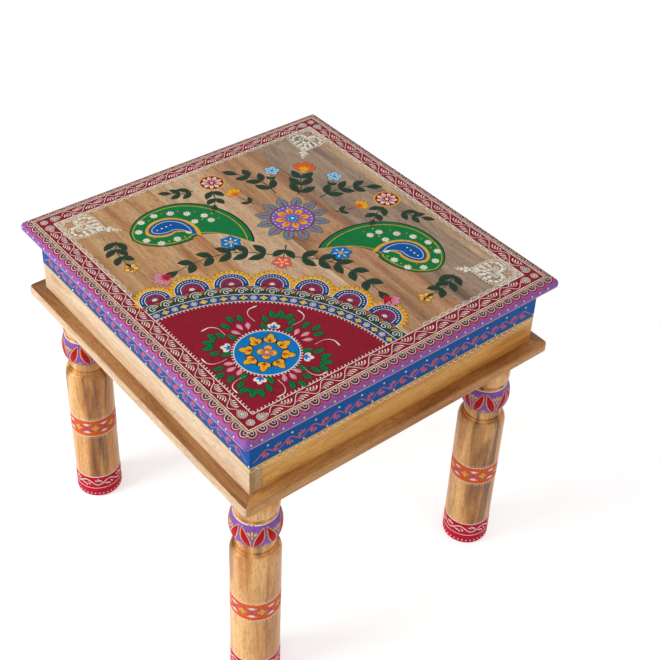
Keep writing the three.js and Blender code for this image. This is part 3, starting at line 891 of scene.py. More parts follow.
def edge_surface(side):
    """Moulded edge: v is 0 where the curve starts and grows downwards round it."""
    out, along, _, reach, _, _ = SIDES[side]
    out, along = Vector(out), Vector(along)

    def at(u, v, h):
        if v <= 0:
            return out * (reach - OVOLO_REACH + v) + along * u + Vector((0, 0, TOP_Z + h))
        i = min(max(bisect_right(EDGE_LENGTHS, v) - 1, 0), len(EDGE_OUTLINE) - 2)
        (d0, z0), (d1, z1) = EDGE_OUTLINE[i], EDGE_OUTLINE[i + 1]
        share = (v - EDGE_LENGTHS[i]) / (EDGE_LENGTHS[i + 1] - EDGE_LENGTHS[i])
        run, drop = d0 - d1, z0 - z1
        length = math.hypot(run, drop)
        inset = d0 + (d1 - d0) * share - h * drop / length
        z = z0 + (z1 - z0) * share + h * run / length
        return out * (reach - inset) + along * u + Vector((0, 0, z))
    return at


def box_surface(side):
    """Outer face of the box: v is 0 at the lower line of the blue band and grows upwards."""
    out, along, *_, reach = SIDES[side]
    return flat_surface(Vector(out) * reach + Vector((0, 0, BLUE_LOW)), along, (0, 0, 1))


SLOPE_REACH = 0.4


def leg_surface(name, wrap_radius):
    """Round face of a leg: u runs round it, in millimetres at the wrap radius, and v is the height."""
    axis = LEG_AXES[name]
    start = math.atan2(axis.y, axis.x)

    def at(u, v, h):
        angle = start + u / wrap_radius
        slope = (leg_radius(v + SLOPE_REACH) - leg_radius(v - SLOPE_REACH)) / (2 * SLOPE_REACH)
        length = math.hypot(1, slope)
        place = swung(axis.x, axis.y, leg_radius(v) + h / length, angle)
        return Vector((*place, v - h * slope / length))
    return at


# Paint on a surface: strokes, dots and filled shapes, gathered by colour
SINK = 0.05
THIN_COAT = 0.04
COAT = 0.08
RAISED = 0.14

# Cross sections of a brush line: places across it and shares of its height. A broad one has
# more places, so that it follows a round surface.
NARROW_PROFILE = ((1, 0), (0.55, 0.9), (-0.55, 0.9), (-1, 0))
BROAD_PROFILE = ((1, 0), (0.86, 0.8), (0.43, 1), (0, 1), (-0.43, 1), (-0.86, 0.8), (-1, 0))
BROAD = 1.2

# The finest line that the brush draws, as a half width, the finest petal tip, and how much of a
# comma is its head
BRUSH_TIP = 0.22
PETAL_TIP = 0.08
COMMA_HEAD = 0.24
CURL_HEAD = 0.2


class Zone:
    """The paint of one part of the table: one mesh for each colour, on the surface it is set on."""

    def __init__(self, name, slot):
        self.name = name
        self.slot = slot
        self.surface = None
        self.meshes = {}

    def on(self, surface):
        self.surface = surface

    def mesh_of(self, color):
        return self.meshes.setdefault(color, ([], []))

    def stroke(self, color, path, half, rise=COAT, lift=0.0, closed=False):
        """A brush line along a path. 'half' is its half width, or one half width for each point."""
        verts, faces = self.mesh_of(color)
        count = len(path)
        halves = half if isinstance(half, (list, tuple)) else [half] * count
        profile = BROAD_PROFILE if max(halves) > BROAD else NARROW_PROFILE
        columns = len(profile)
        start = len(verts)
        for i, (u, v) in enumerate(path):
            before = path[i - 1] if i or closed else path[i]
            after = path[(i + 1) % count] if i < count - 1 or closed else path[i]
            du, dv = after[0] - before[0], after[1] - before[1]
            length = math.hypot(du, dv) or 1.0
            nu, nv = -dv / length * halves[i], du / length * halves[i]
            for across, level in profile:
                height = lift + rise * level if level else lift - SINK
                verts.append(self.surface(u + nu * across, v + nv * across, height))
        links = count if closed else count - 1
        for i in range(links):
            a = start + columns * i
            b = start + columns * ((i + 1) % count)
            for c in range(columns):
                d = (c + 1) % columns
                faces.append((a + c, a + d, b + d, b + c))
        if not closed:
            end = start + columns * (count - 1)
            faces.append(tuple(start + c for c in reversed(range(columns))))
            faces.append(tuple(end + c for c in range(columns)))

    def dot(self, color, u, v, radius, rise=RAISED, lift=0.0, sides=8):
        """A drop of thick paint, highest in its middle."""
        verts, faces = self.mesh_of(color)
        start = len(verts)
        for share, level in ((1.0, -SINK), (0.8, rise * 0.75)):
            for place in ring_places(u, v, radius * share, sides):
                verts.append(self.surface(*place, lift + level))
        verts.append(self.surface(u, v, lift + rise))
        faces.append(tuple(start + i for i in reversed(range(sides))))
        for i in range(sides):
            j = (i + 1) % sides
            faces.append((start + i, start + j, start + sides + j, start + sides + i))
            faces.append((start + sides + i, start + sides + j, start + 2 * sides))

    def patch(self, color, outline, rise=THIN_COAT, lift=0.0):
        """A flat filled shape, given anticlockwise."""
        verts, faces = self.mesh_of(color)
        start = len(verts)
        count = len(outline)
        verts += [self.surface(u, v, lift - SINK) for u, v in outline]
        verts += [self.surface(u, v, lift + rise) for u, v in outline]
        faces.append(tuple(start + i for i in reversed(range(count))))
        faces.append(tuple(start + count + i for i in range(count)))
        for i in range(count):
            j = (i + 1) % count
            faces.append((start + i, start + j, start + count + j, start + count + i))

    def line(self, color, a, b, half, steps=1, **options):
        run, climb = b[0] - a[0], b[1] - a[1]
        path = [(a[0] + run * i / steps, a[1] + climb * i / steps) for i in range(steps + 1)]
        self.stroke(color, path, half, **options)

    def circle(self, color, u, v, radius, half, steps=24, **options):
        self.stroke(color, ring_places(u, v, radius, steps), half, closed=True, **options)

    def disc(self, color, u, v, radius, steps=24, **options):
        self.patch(color, ring_places(u, v, radius, steps), **options)

    def petal(self, color, u, v, angle, length, width, bend=0.0, fullness=0.5, blunt=0.8, steps=7,
              **options):
        """A petal or leaf from its root. Fullness is where along it the widest place lies, and the
        smaller 'blunt' is, the rounder are its ends."""
        path, halves = [], []
        for i in range(steps + 1):
            share = i / steps
            path.append(swung(u, v, length * share, angle + bend * (share - 0.5)))
            warped = share ** (math.log(0.5) / math.log(fullness))
            swell = math.sin(math.pi * min(max(warped, 0.02), 0.98)) ** blunt
            halves.append(max(width / 2 * swell, PETAL_TIP))
        self.stroke(color, path, halves, **options)

    def comma(self, color, u, v, angle, length, width, bend=0.9, steps=7, **options):
        """A brush mark with a round head that draws out to a thin curved tail."""
        path, halves = [], []
        for i in range(steps + 1):
            share = i / steps
            path.append(swung(u, v, length * share, angle + bend * share))
            if share < COMMA_HEAD:
                swell = math.sqrt(1 - (1 - share / COMMA_HEAD) ** 2)
            else:
                swell = ((1 - share) / (1 - COMMA_HEAD)) ** 1.15
            halves.append(max(width / 2 * swell, BRUSH_TIP))
        self.stroke(color, path, halves, **options)

    def framed_petal(self, color, u, v, angle, length, width, frame=0.5, edge="dark", lift=0.0,
                     **options):
        """A petal with a line round it."""
        back = swung(u, v, -frame, angle)
        outer_length, outer_width = length + 2 * frame, width + 2 * frame
        self.petal(edge, *back, angle, outer_length, outer_width, lift=lift, rise=THIN_COAT, **options)
        self.petal(color, u, v, angle, length, width, lift=lift + 0.02, rise=COAT, **options)

    def curl(self, color, path, width, **options):
        """A brush mark along a path: a round head, then a tail that thins out."""
        halves = []
        for i in range(len(path)):
            share = i / (len(path) - 1)
            if share < CURL_HEAD:
                swell = math.sin(math.pi * share / CURL_HEAD / 2 + 0.5)
            else:
                swell = (1 - share) ** 1.6 + 0.12
            halves.append(max(width / 2 * swell, BRUSH_TIP))
        self.stroke(color, path, halves, **options)

    def spiral(self, color, u, v, radius, turns, half, start=0.0, steps=14, hand=1, **options):
        path = []
        for i in range(steps + 1):
            share = i / steps
            path.append(swung(u, v, radius * (1 - 0.86 * share), start + hand * TURN * turns * share))
        self.stroke(color, path, half, **options)

    def finish(self):
        """Makes one piece of each colour."""
        for color, (verts, faces) in self.meshes.items():
            name = f"{self.name}_{color}"
            mesh = bpy.data.meshes.new(name)
            mesh.from_pydata([p * MM for p in verts], [], faces)
            mesh.materials.append(ENAMELS[color])
            piece = bpy.data.objects.new(name, mesh)
            bpy.context.scene.collection.objects.link(piece)
            bm = bmesh.new()
            bm.from_mesh(mesh)
            bmesh.ops.recalc_face_normals(bm, faces=bm.faces)
            bm.to_mesh(mesh)
            bm.free()
            finish_piece(piece, sharp_angle=70.0)


def wave(start, end, middle, swing, count, steps=12, phase=0.0):
    """A sine line with 'count' waves between two places along a side."""
    total = max(int(count * steps), 2)
    return [
        (start + (end - start) * i / total, middle + swing * math.sin(TURN * count * i / total + phase))
        for i in range(total + 1)
    ]


# Border of the top
def paint_border(zone):
    """Crimson border: white lines, a white wave with fans of brush marks on both sides of it,
    and a jewel with two drops in each corner."""
    zone.on(TOP_SURFACE)
    for inset in (OUTER_LINE, INNER_LINE):
        x, y = TOP_HALF_X - inset, TOP_HALF_Y - inset
        corners = [(-x, -y), (x, -y), (x, y), (-x, y)]
        for a, b in zip(corners, corners[1:] + corners[:1]):
            zone.line("white", a, b, 0.55, rise=RAISED)
    middle = (OUTER_LINE + INNER_LINE) / 2
    reach_x, reach_y = TOP_HALF_X - middle, TOP_HALF_Y - middle
    corner_room = 21.0
    runs = [
        (flat_surface((0, -reach_y, TOP_Z), (1, 0, 0), (0, 1, 0)), reach_x, 11),
        (flat_surface((reach_x, 0, TOP_Z), (0, 1, 0), (-1, 0, 0)), reach_y, 11),
        (flat_surface((0, reach_y, TOP_Z), (-1, 0, 0), (0, -1, 0)), reach_x, 12),
        (flat_surface((-reach_x, 0, TOP_Z), (0, -1, 0), (1, 0, 0)), reach_y, 13),
    ]
    for surface, reach, repeats in runs:
        zone.on(surface)
        start, end = -reach + corner_room, reach - corner_room
        period = (end - start) / repeats
        zone.stroke("white", wave(start, end, 0.0, 5.5, repeats, steps=16), 0.42)
        for k in range(repeats):
            for turn, place in ((1, start + period * (k + 0.25)), (-1, start + period * (k + 0.75))):
                for i in range(4):
                    size = 0.6 + 0.13 * i
                    head_u = place + period * (0.1 * i - 0.17) + 1.4 * size
                    head_v = -turn * 5.3 * (1.06 - 0.12 * i)
                    zone.comma(
                        "white", head_u, head_v, turn * 1.68, 8.6 * size, 1.2 + 0.6 * size, turn * 0.95,
                        rise=RAISED,
                    )
    zone.on(TOP_SURFACE)
    drop_room = 12.6
    drops = (("pearl", 5.2, 3.7, 0.06), ("slate", 3.7, 2.5, 0.09), ("pearl", 2.6, 1.7, 0.13))
    for sx in (-1, 1):
        for sy in (-1, 1):
            u, v = sx * reach_x, sy * reach_y
            paint_pearl(zone, u, v, 3.7)
            for du, dv in ((-sx, 0), (0, -sy)):
                place = (u + du * drop_room, v + dv * drop_room, math.atan2(dv, du))
                for color, length, radius, rise in drops:
                    zone.patch(color, drop_outline(*place, length, radius), rise=rise)
                for spot in drop_outline(*place, 6.6, 4.7, steps=20):
                    zone.dot("white", *spot, 0.6, sides=6)


def paint_pearl(zone, u, v, radius, lift=0.0):
    """Grey white bead with a shaded ring in it and a row of small dots round it."""
    above = lift + 0.06
    zone.disc("pearl", u, v, radius * 0.78, steps=18, lift=lift, rise=0.06)
    zone.circle("slate", u, v, radius * 0.46, radius * 0.12, steps=12, lift=above, rise=THIN_COAT)
    zone.dot("white", u, v, radius * 0.26, lift=above, rise=0.1, sides=8)
    for spot in ring_places(u, v, radius, 13):
        zone.dot("white", *spot, radius * 0.17, lift=lift, sides=6)


def drop_outline(u, v, angle, length, radius, steps=18):
    """A drop: round at the back and drawn to a point in the given direction."""
    points = []
    for i in range(steps):
        turn = TURN * i / steps
        along = math.cos(turn)
        pull = length if along > 0 else radius
        width = radius * math.sin(turn) * (1 - 0.45 * max(along, 0) ** 1.2)
        points.append(placed(u, v, angle, pull * along, width))
    return points


# Moulded edge: how wide a cup is, and how far round the edge's curve its lines lie
CUP_PITCH = 11.8
CUP_ROOM = 6.5
EDGE_DARK_LINE = 0.3
EDGE_GOLD_LINE = 1.5
EDGE_DOTS = 13.2
EDGE_FOOT_LINE = 16.8


def paint_edge(zone):
    """Moulded edge: a dark and a gold line, cream cups with a curl in each, a crimson and a bright
    red scallop under them, cream dots, and a thin gold line at the foot."""
    for side in SIDES:
        zone.on(edge_surface(side))
        half_length = SIDES[side][2]
        lines = (
            ("plum", half_length - OVOLO_REACH, EDGE_DARK_LINE, 0.35, THIN_COAT),
            ("yellow", half_length - OVOLO_REACH + 1.2, EDGE_GOLD_LINE, 0.75, COAT),
            ("yellow", half_length - TOP_CORNER, EDGE_FOOT_LINE, 0.42, COAT),
        )
        for color, reach, level, half, rise in lines:
            zone.line(color, (-reach, level), (reach, level), half, steps=2, rise=rise)
        start, end = -half_length + CUP_ROOM, half_length - CUP_ROOM
        cups = round((end - start) / CUP_PITCH)
        period = (end - start) / cups
        for k in range(cups):
            middle = start + period * (k + 0.5)
            zone.petal("grape", middle, 1.9, QUARTER, 7.4, 10.6, fullness=0.42, steps=8, rise=THIN_COAT)
            zone.stroke("cream", half_round(middle, 2.4, period * 0.4, 5.6), 0.48, lift=0.03)
            curl = half_round(middle + 0.5, 2.7, period * 0.15, 2.6, first=-0.2, last=0.6)
            zone.stroke("cream", curl, 0.4, lift=0.03)
            zone.stroke("crimson", half_round(middle, 4.4, period * 0.49, 5.0), 0.5, rise=THIN_COAT)
            zone.stroke("red_orange", half_round(middle, 5.9, period * 0.5, 4.8), 0.6)
            zone.dot("cream", start + period * k, EDGE_DOTS, 1.2, sides=8)


def half_round(u, v, width, depth, first=0.0, last=0.5, steps=9):
    """A round stroke that hangs down from a line: a share of a turn, from its right end."""
    turns = [TURN * (first + (last - first) * i / steps) for i in range(steps + 1)]
    return [(u + width * math.cos(turn), v + depth * math.sin(turn)) for turn in turns]


def paint_box_band(zone):
    """Blue band: a coral wave with a five-petal sprig in each bend, white dots, and below the
    band a yellow line, with a white scalloped fringe on all sides but one."""
    sprigs = 13
    beads = 48
    middle, swing = 10.4, 4.2
    for side in SIDES:
        zone.on(box_surface(side))
        half_length = SIDES[side][4]
        start, end = -half_length + 4.0, half_length - 4.0
        period = (end - start) / sprigs
        zone.stroke("coral", wave(start, end, middle, swing, sprigs, steps=14, phase=-QUARTER), 0.5)
        for k in range(sprigs):
            low_place = start + period * (k + 1.0)
            high_place = start + period * (k + 0.5)
            for centre, turn in ((low_place, 1), (high_place, -1)):
                if abs(centre) > half_length - 6:
                    continue
                for i in range(5):
                    angle = turn * (QUARTER - 0.25 + 0.5 * i)
                    length = 6.2 - 0.8 * abs(i - 1.6)
                    root = swung(centre + 1.8, middle - turn * (swing - 2.4), 1.8, angle)
                    zone.petal("coral", *root, angle, length, 2.5, fullness=0.7, steps=5)
            zone.dot("white", high_place + period * 0.1, middle + 8.6, 1.3)
            zone.dot("white", low_place + period * 0.1, middle - 7.4, 1.3)
        zone.line("yellow", (-half_length, 0.0), (half_length, 0.0), 0.85, steps=2)
        if side == "front_left":
            continue
        pitch = 2 * half_length / beads
        for k in range(beads):
            u = -half_length + pitch * (k + 0.5)
            zone.stroke("white", arc(u, -1.2, pitch * 0.48, -TURN / 2, 0, steps=5), 0.42)
            zone.dot("white", -half_length + pitch * (k + 1), -2.0, 0.75, sides=6)


# Corner mandala. Its centre is the front corner of the inner line.
MANDALA = (-(TOP_HALF_X - INNER_LINE), -(TOP_HALF_Y - INNER_LINE))


def sector(inner, outer, start=0.0, end=QUARTER, steps=36):
    """A ring's part about the mandala's centre, or a disc's part where the inner radius is 0."""
    back = arc(*MANDALA, inner, end, start, steps) if inner else [MANDALA]
    return arc(*MANDALA, outer, start, end, steps) + back


def polar(radius, angle):
    return swung(*MANDALA, radius, angle)


def paint_mandala(zone):
    """Crimson quarter disc with a toothed rim, a blue ring with lozenges and pearls, and a green
    ring with scrolls and rust tufts. The fans stand on its rim."""
    zone.on(TOP_SURFACE)
    ground = THIN_COAT
    zone.patch("crimson", sector(0, MANDALA_GROUND), rise=ground)
    zone.patch("navy", sector(MANDALA_GROUND, MANDALA_BLUE), rise=ground)
    zone.patch("leaf", sector(MANDALA_BLUE, MANDALA_GREEN), rise=ground)
    for radius in (MANDALA_GROUND, MANDALA_BLUE, MANDALA_GREEN):
        zone.stroke("white", arc(*MANDALA, radius, 0, QUARTER, 48), 0.5, lift=ground)
    tooth = {"fullness": 0.6, "steps": 4, "lift": ground}
    teeth = 62
    for k in range(teeth):
        angle = QUARTER * (k + 0.5) / teeth
        root = polar(MANDALA_GROUND - 0.2, angle)
        zone.petal("white", *root, angle + TURN / 2 + 0.3, 2.8, 1.4, **tooth)
    u, v = MANDALA
    side_teeth = 38
    for k in range(side_teeth):
        reach = MANDALA_GROUND * (k + 0.5) / side_teeth
        zone.petal("white", u + reach, v + 0.3, QUARTER - 0.5, 2.9, 1.5, **tooth)
        zone.petal("white", u + 0.3, v + reach, 0.5, 2.9, 1.5, **tooth)
    jewels = 26
    blue_middle = (MANDALA_GROUND + MANDALA_BLUE) / 2
    for k in range(jewels):
        angle = QUARTER * (k + 0.5) / jewels
        place = polar(blue_middle, angle)
        if k % 2 == 0:
            zone.patch("yellow", lozenge(*place, angle + QUARTER, 4.7, 3.7), lift=ground)
        else:
            paint_pearl(zone, *place, 3.1, lift=ground)
        for radius in (blue_middle - 3.4, blue_middle + 3.4):
            zone.dot("gold", *polar(radius, QUARTER * k / jewels), 0.55, lift=ground, sides=6)
    scrolls = 18
    green_middle = (MANDALA_BLUE + MANDALA_GREEN) / 2
    for k in range(scrolls):
        angle = QUARTER * (k + 0.5) / scrolls
        centre = polar(green_middle - 1.5, angle)
        zone.spiral("white", *centre, 4.5, 1.4, 0.55, start=angle - QUARTER, steps=18, lift=ground)
        hood = arc(*centre, 6.3, angle - 0.9 * QUARTER, angle + QUARTER, steps=9)
        zone.stroke("white", hood, 0.5, lift=ground)
        tuft_angle = QUARTER * (k + 1.02) / scrolls
        root = polar(MANDALA_GREEN - 1.0, tuft_angle)
        for i in (-1, 0, 1):
            heading = tuft_angle + TURN / 2 + i * 0.75
            zone.petal("rust", *root, heading, 5.0, 1.9, steps=4, lift=ground + 0.05)
        zone.dot("rust", *polar(MANDALA_BLUE + 1.9, tuft_angle - 0.012), 0.7, lift=ground, sides=6)
    paint_scallops(zone)


# Fans on the mandala's rim: how far the centre of one stands out from the rim, their directions
# from the front-left side in degrees, and their radii. The first one is squeezed by the border.
FAN_STILT = 3.2
FAN_DEGREES = (5.2, 17.2, 29.5, 42, 54.5, 67, 79.5)
FAN_RED = 11.4
FAN_BLUE = 17.7
FAN_FRILL = 24.0
FAN_SQUEEZE = 0.9


def fan_arch(cu, cv, radius, angle, steps=14):
    """A half circle about a fan's centre, with straight feet down to the mandala's rim."""
    drop = FAN_STILT + radius ** 2 / (2 * MANDALA_GREEN)
    rounded = arc(cu, cv, radius, angle - QUARTER, angle + QUARTER, steps)
    return [swung(*rounded[0], -drop, angle), *rounded, swung(*rounded[-1], -drop, angle)]


def lozenge(u, v, angle, length, width, steps=5):
    """A lozenge with slightly hollow sides, its long axis at the angle."""
    corners = [(length, 0), (0, width), (-length, 0), (0, -width)]
    points = []
    for (a0, b0), (a1, b1) in zip(corners, corners[1:] + corners[:1]):
        for i in range(steps):
            share = i / steps
            pull = 1 - 0.1 * math.sin(math.pi * share)
            a, b = a0 + (a1 - a0) * share, b0 + (b1 - b0) * share
            points.append(placed(u, v, angle, a * pull, b * pull))
    return points


def paint_scallops(zone):
    """Fans on the mandala's rim: a crimson half disc with blue rays and a pearl, a navy arch with
    white dots between white lines, and a frill of yellow petals."""
    petals = 14
    dots = 15
    rays = 9
    beads = 7
    for fan, degrees in enumerate(FAN_DEGREES):
        angle = QUARTER - math.radians(degrees)
        centre = polar(MANDALA_GREEN + FAN_STILT, angle)
        squeeze = 1.0 if fan else FAN_SQUEEZE
        red, blue, frill = FAN_RED * squeeze, FAN_BLUE * squeeze, FAN_FRILL * squeeze
        shape = {"fullness": 0.56, "blunt": 0.65, "frame": 0.42, "lift": 0.015 * (fan % 2)}
        for i in range(petals):
            turn = angle - 1.1 * QUARTER + 1.1 * TURN / 2 * (i + 0.5) / petals
            root = swung(*centre, blue - 2.0, turn)
            if inside_border(*root, 3.0):
                zone.framed_petal("gold", *root, turn, frill - blue + 2.0, 5.2, **shape)
        for color, radius, level in (("navy", blue, 0.12), ("crimson", red, 0.15)):
            outline = [p for p in fan_arch(*centre, radius, angle) if inside_border(*p, 0.6)]
            zone.patch(color, outline, rise=level)
        for radius in (red, blue):
            path = [p for p in fan_arch(*centre, radius, angle, 18) if inside_border(*p, 0.6)]
            zone.stroke("white", path, 0.46, lift=0.12)
        for i in range(dots):
            spot = swung(*centre, (red + blue) / 2, angle - QUARTER + TURN / 2 * (i + 0.5) / dots)
            if inside_border(*spot, 1.0):
                zone.dot("white", *spot, 0.85, lift=0.12, sides=6)
        for i in range(rays):
            turn = angle - QUARTER + TURN / 2 * (i + 0.5) / rays
            for reach, length, width in ((7.4, 2.9, 1.7), (4.6, 2.0, 1.1)):
                root = swung(*centre, reach * squeeze, turn)
                if inside_border(*root, 1.0):
                    zone.petal("blue", *root, turn, length, width, steps=3, lift=0.15)
        if inside_border(*centre, 2.0):
            for i in range(beads):
                spot = swung(*centre, 2.2, angle - QUARTER + TURN / 2 * i / (beads - 1))
                zone.dot("pearl", *spot, 1.1, lift=0.15, sides=6)
            zone.dot("white", *centre, 1.5, lift=0.17, sides=8)


def inside_border(u, v, margin):
    return MANDALA[0] + margin < u and MANDALA[1] + margin < v


def paint_rosette(zone):
    """Round flower in the mandala's ground: eight orange leaves on a blue disc. Round it are pink
    and pale blue flowers, green leaves and white curls."""
    zone.on(TOP_SURFACE)
    u, v = ROSETTE_PLACE
    ground = THIN_COAT
    above = 2 * THIN_COAT
    zone.disc("sky", u, v, 31.2, steps=48, lift=ground)
    zone.circle("white", u, v, 31.6, 0.6, steps=48, lift=ground + 0.02)
    teeth = 56
    for k in range(teeth):
        turn = TURN * k / teeth
        root = swung(u, v, 31.6, turn)
        zone.petal("white", *root, turn + 0.35, 3.0, 1.7, fullness=0.6, steps=4, lift=ground)
    leaves = 8
    lobes = ((-0.78, 7.6, 6.4), (0.78, 7.6, 6.4), (0.0, 12.6, 7.4))
    shape = {"fullness": 0.58, "blunt": 0.55}
    for k in range(leaves):
        turn = TURN * k / leaves
        root = swung(u, v, 14.6, turn)
        back = swung(*root, -0.8, turn)
        for spread, length, width in lobes:
            place = (*back, turn + spread, length + 1.6, width + 1.6)
            zone.petal("dark", *place, lift=above, rise=0.03, **shape)
        for spread, length, width in lobes:
            zone.petal("gold", *root, turn + spread, length, width, lift=above + 0.02, rise=0.06, **shape)
        for spread, length in ((-0.5, 4.8), (0.5, 4.8), (0.0, 7.6)):
            heading = turn + spread
            zone.petal("orange", *root, heading, length, 2.4, lift=above + 0.06, rise=0.05)
            zone.petal("dark", *root, heading, length, 0.6, fullness=0.4, lift=above + 0.09, rise=0.05)
    for k in range(4):
        turn = QUARTER * k + TURN / 8
        zone.framed_petal("gold", u, v, turn, 9.8, 8.4, fullness=0.68, blunt=0.6, lift=above)
        zone.petal("orange", u, v, turn, 7.6, 4.4, fullness=0.6, lift=above + 0.08, rise=0.05)
        root = swung(u, v, 5.4, turn)
        zone.petal("white", *root, turn, 3.0, 1.4, fullness=0.6, lift=above + 0.12, rise=0.05)
    zone.dot("pearl", u, v, 2.1, lift=above + 0.1, sides=12)

    # One quarter of the flowers round the disc: place from its centre, then heading
    pinks = ((-7.0, 40.5, 118), (0.5, 45.0, 90), (8.0, 42.0, 60))
    sprays = (
        (-10.0, 54.0, 108), (-0.5, 60.0, 92), (8.0, 55.5, 74), (-14.0, 37.0, 104), (-22.0, 46.0, 108),
        (-29.5, 49.0, 102), (-42.0, 37.0, 158), (-40.5, 27.5, 168), (-32.5, 20.0, 166),
    )
    trefoil = (-34.0, 40.0)
    blossom = (-24.4, 25.4)
    for quarter in range(4):
        turn = QUARTER * quarter

        def place(a, b):
            return placed(u, v, turn, a, b)

        def spray(color, a, b, degrees, length, width, vein, **options):
            heading = math.radians(degrees)
            root = place(*swung(a, b, -length / 2, heading))
            zone.framed_petal(color, *root, heading + turn, length, width, lift=ground, **options)
            zone.petal(vein, *root, heading + turn, length * 0.8, 1.1, lift=ground + 0.1, rise=THIN_COAT)

        # The flowers are pulled in on the two quarters that face the border
        is_near_border = quarter in (1, 2)
        pull = 0.9 if is_near_border else 1.0
        shape = {"frame": 0.3, "edge": "red", "fullness": 0.6, "blunt": 0.7}
        for a, b, degrees in pinks:
            spray("pink", a, b * pull, degrees, 10.4, 5.6, "pearl", **shape)
        for a, b, degrees in sprays:
            b *= pull if b > 50 else 1.0
            spray("green", a, b, degrees, 11.4, 6.2, "dark", frame=0.8, blunt=0.7)
        root = place(*trefoil)
        shape = {"frame": 0.8, "fullness": 0.56, "blunt": 0.6}
        for degrees, length, width in ((190, 7.2, 5.4), (72, 7.2, 5.4), (131, 10.8, 6.8)):
            heading = math.radians(degrees) + turn
            zone.framed_petal("green", *root, heading, length, width, lift=ground, **shape)
            zone.petal("dark", *root, heading, length * 0.8, 1.1, lift=ground + 0.1, rise=THIN_COAT)
        root = place(*blossom)
        shape = {"fullness": 0.62, "blunt": 0.65}
        for degrees, length in ((90, 8.0), (182, 8.0), (136, 9.8)):
            heading = math.radians(degrees) + turn
            zone.petal("white", *root, heading, length, 5.8, lift=ground + 0.02, **shape)
            zone.petal("sky", *root, heading, length * 0.66, 2.7, lift=ground + 0.09, rise=THIN_COAT)
        shift = 8.0 if is_near_border else 0.0
        ends = ((70.0, 0.49), (66.0, 0.36), (58.0, 0.31), (47.0, 0.38))
        for side in (-1, 1):
            points = [swung(u, v, reach - shift, QUARTER + turn + side * off) for reach, off in ends]
            zone.curl("white", curve(points), 1.8, lift=ground, rise=RAISED)


# Lace inside the inner line, and the hearts in the far corners
LACE_PITCH = 10.4
LACE_ROOM = 22.0
HEART_ROOM = 25.0


def paint_lace(zone):
    """White lace inside the inner line, wherever it borders bare wood, and a lace heart in each
    far corner."""
    x, y = TOP_HALF_X - INNER_LINE, TOP_HALF_Y - INNER_LINE
    rim = MANDALA_GREEN + LACE_ROOM
    runs = [
        (flat_surface((0, -y, TOP_Z), (1, 0, 0), (0, 1, 0)), -x + rim, x),
        (flat_surface((x, 0, TOP_Z), (0, 1, 0), (-1, 0, 0)), -y, y),
        (flat_surface((0, y, TOP_Z), (-1, 0, 0), (0, -1, 0)), -x, x),
        (flat_surface((-x, 0, TOP_Z), (0, -1, 0), (1, 0, 0)), -y, y - rim),
    ]
    for surface, start, end in runs:
        zone.on(surface)
        count = int((end - start) / LACE_PITCH)
        step = (end - start) / count
        for k in range(count):
            u = start + step * (k + 0.5)
            zone.stroke("pearl", low_arch(u, 0.6, step * 0.4, 2.6), 0.4)
            for spot in low_arch(u, 1.0, step * 0.46, 3.4, steps=7):
                zone.dot("white", *spot, 0.7, sides=6)
            zone.stroke("pearl", low_arch(u, 0.6, step * 0.18, 1.0, steps=4), 0.34)
    zone.on(TOP_SURFACE)
    for sx, sy in ((-1, 1), (1, 1), (1, -1)):
        paint_heart(zone, sx * (x - HEART_ROOM), sy * (y - HEART_ROOM), math.atan2(-sy, -sx))


def low_arch(u, v, half_width, height, steps=6):
    """A flat arch from left to right."""
    turns = [math.pi * i / steps for i in range(steps + 1)]
    return [(u - half_width * math.cos(turn), v + height * math.sin(turn)) for turn in turns]


def heart_outline(size, steps=40):
    """Heart with its point along +u, from the notch round to the notch again."""
    points = []
    for i in range(steps + 1):
        t = TURN * i / steps
        across = 16 * math.sin(t) ** 3
        along = 13 * math.cos(t) - 5 * math.cos(2 * t) - 2 * math.cos(3 * t) - math.cos(4 * t)
        points.append((-along * size / 30, across * size / 32))
    return points


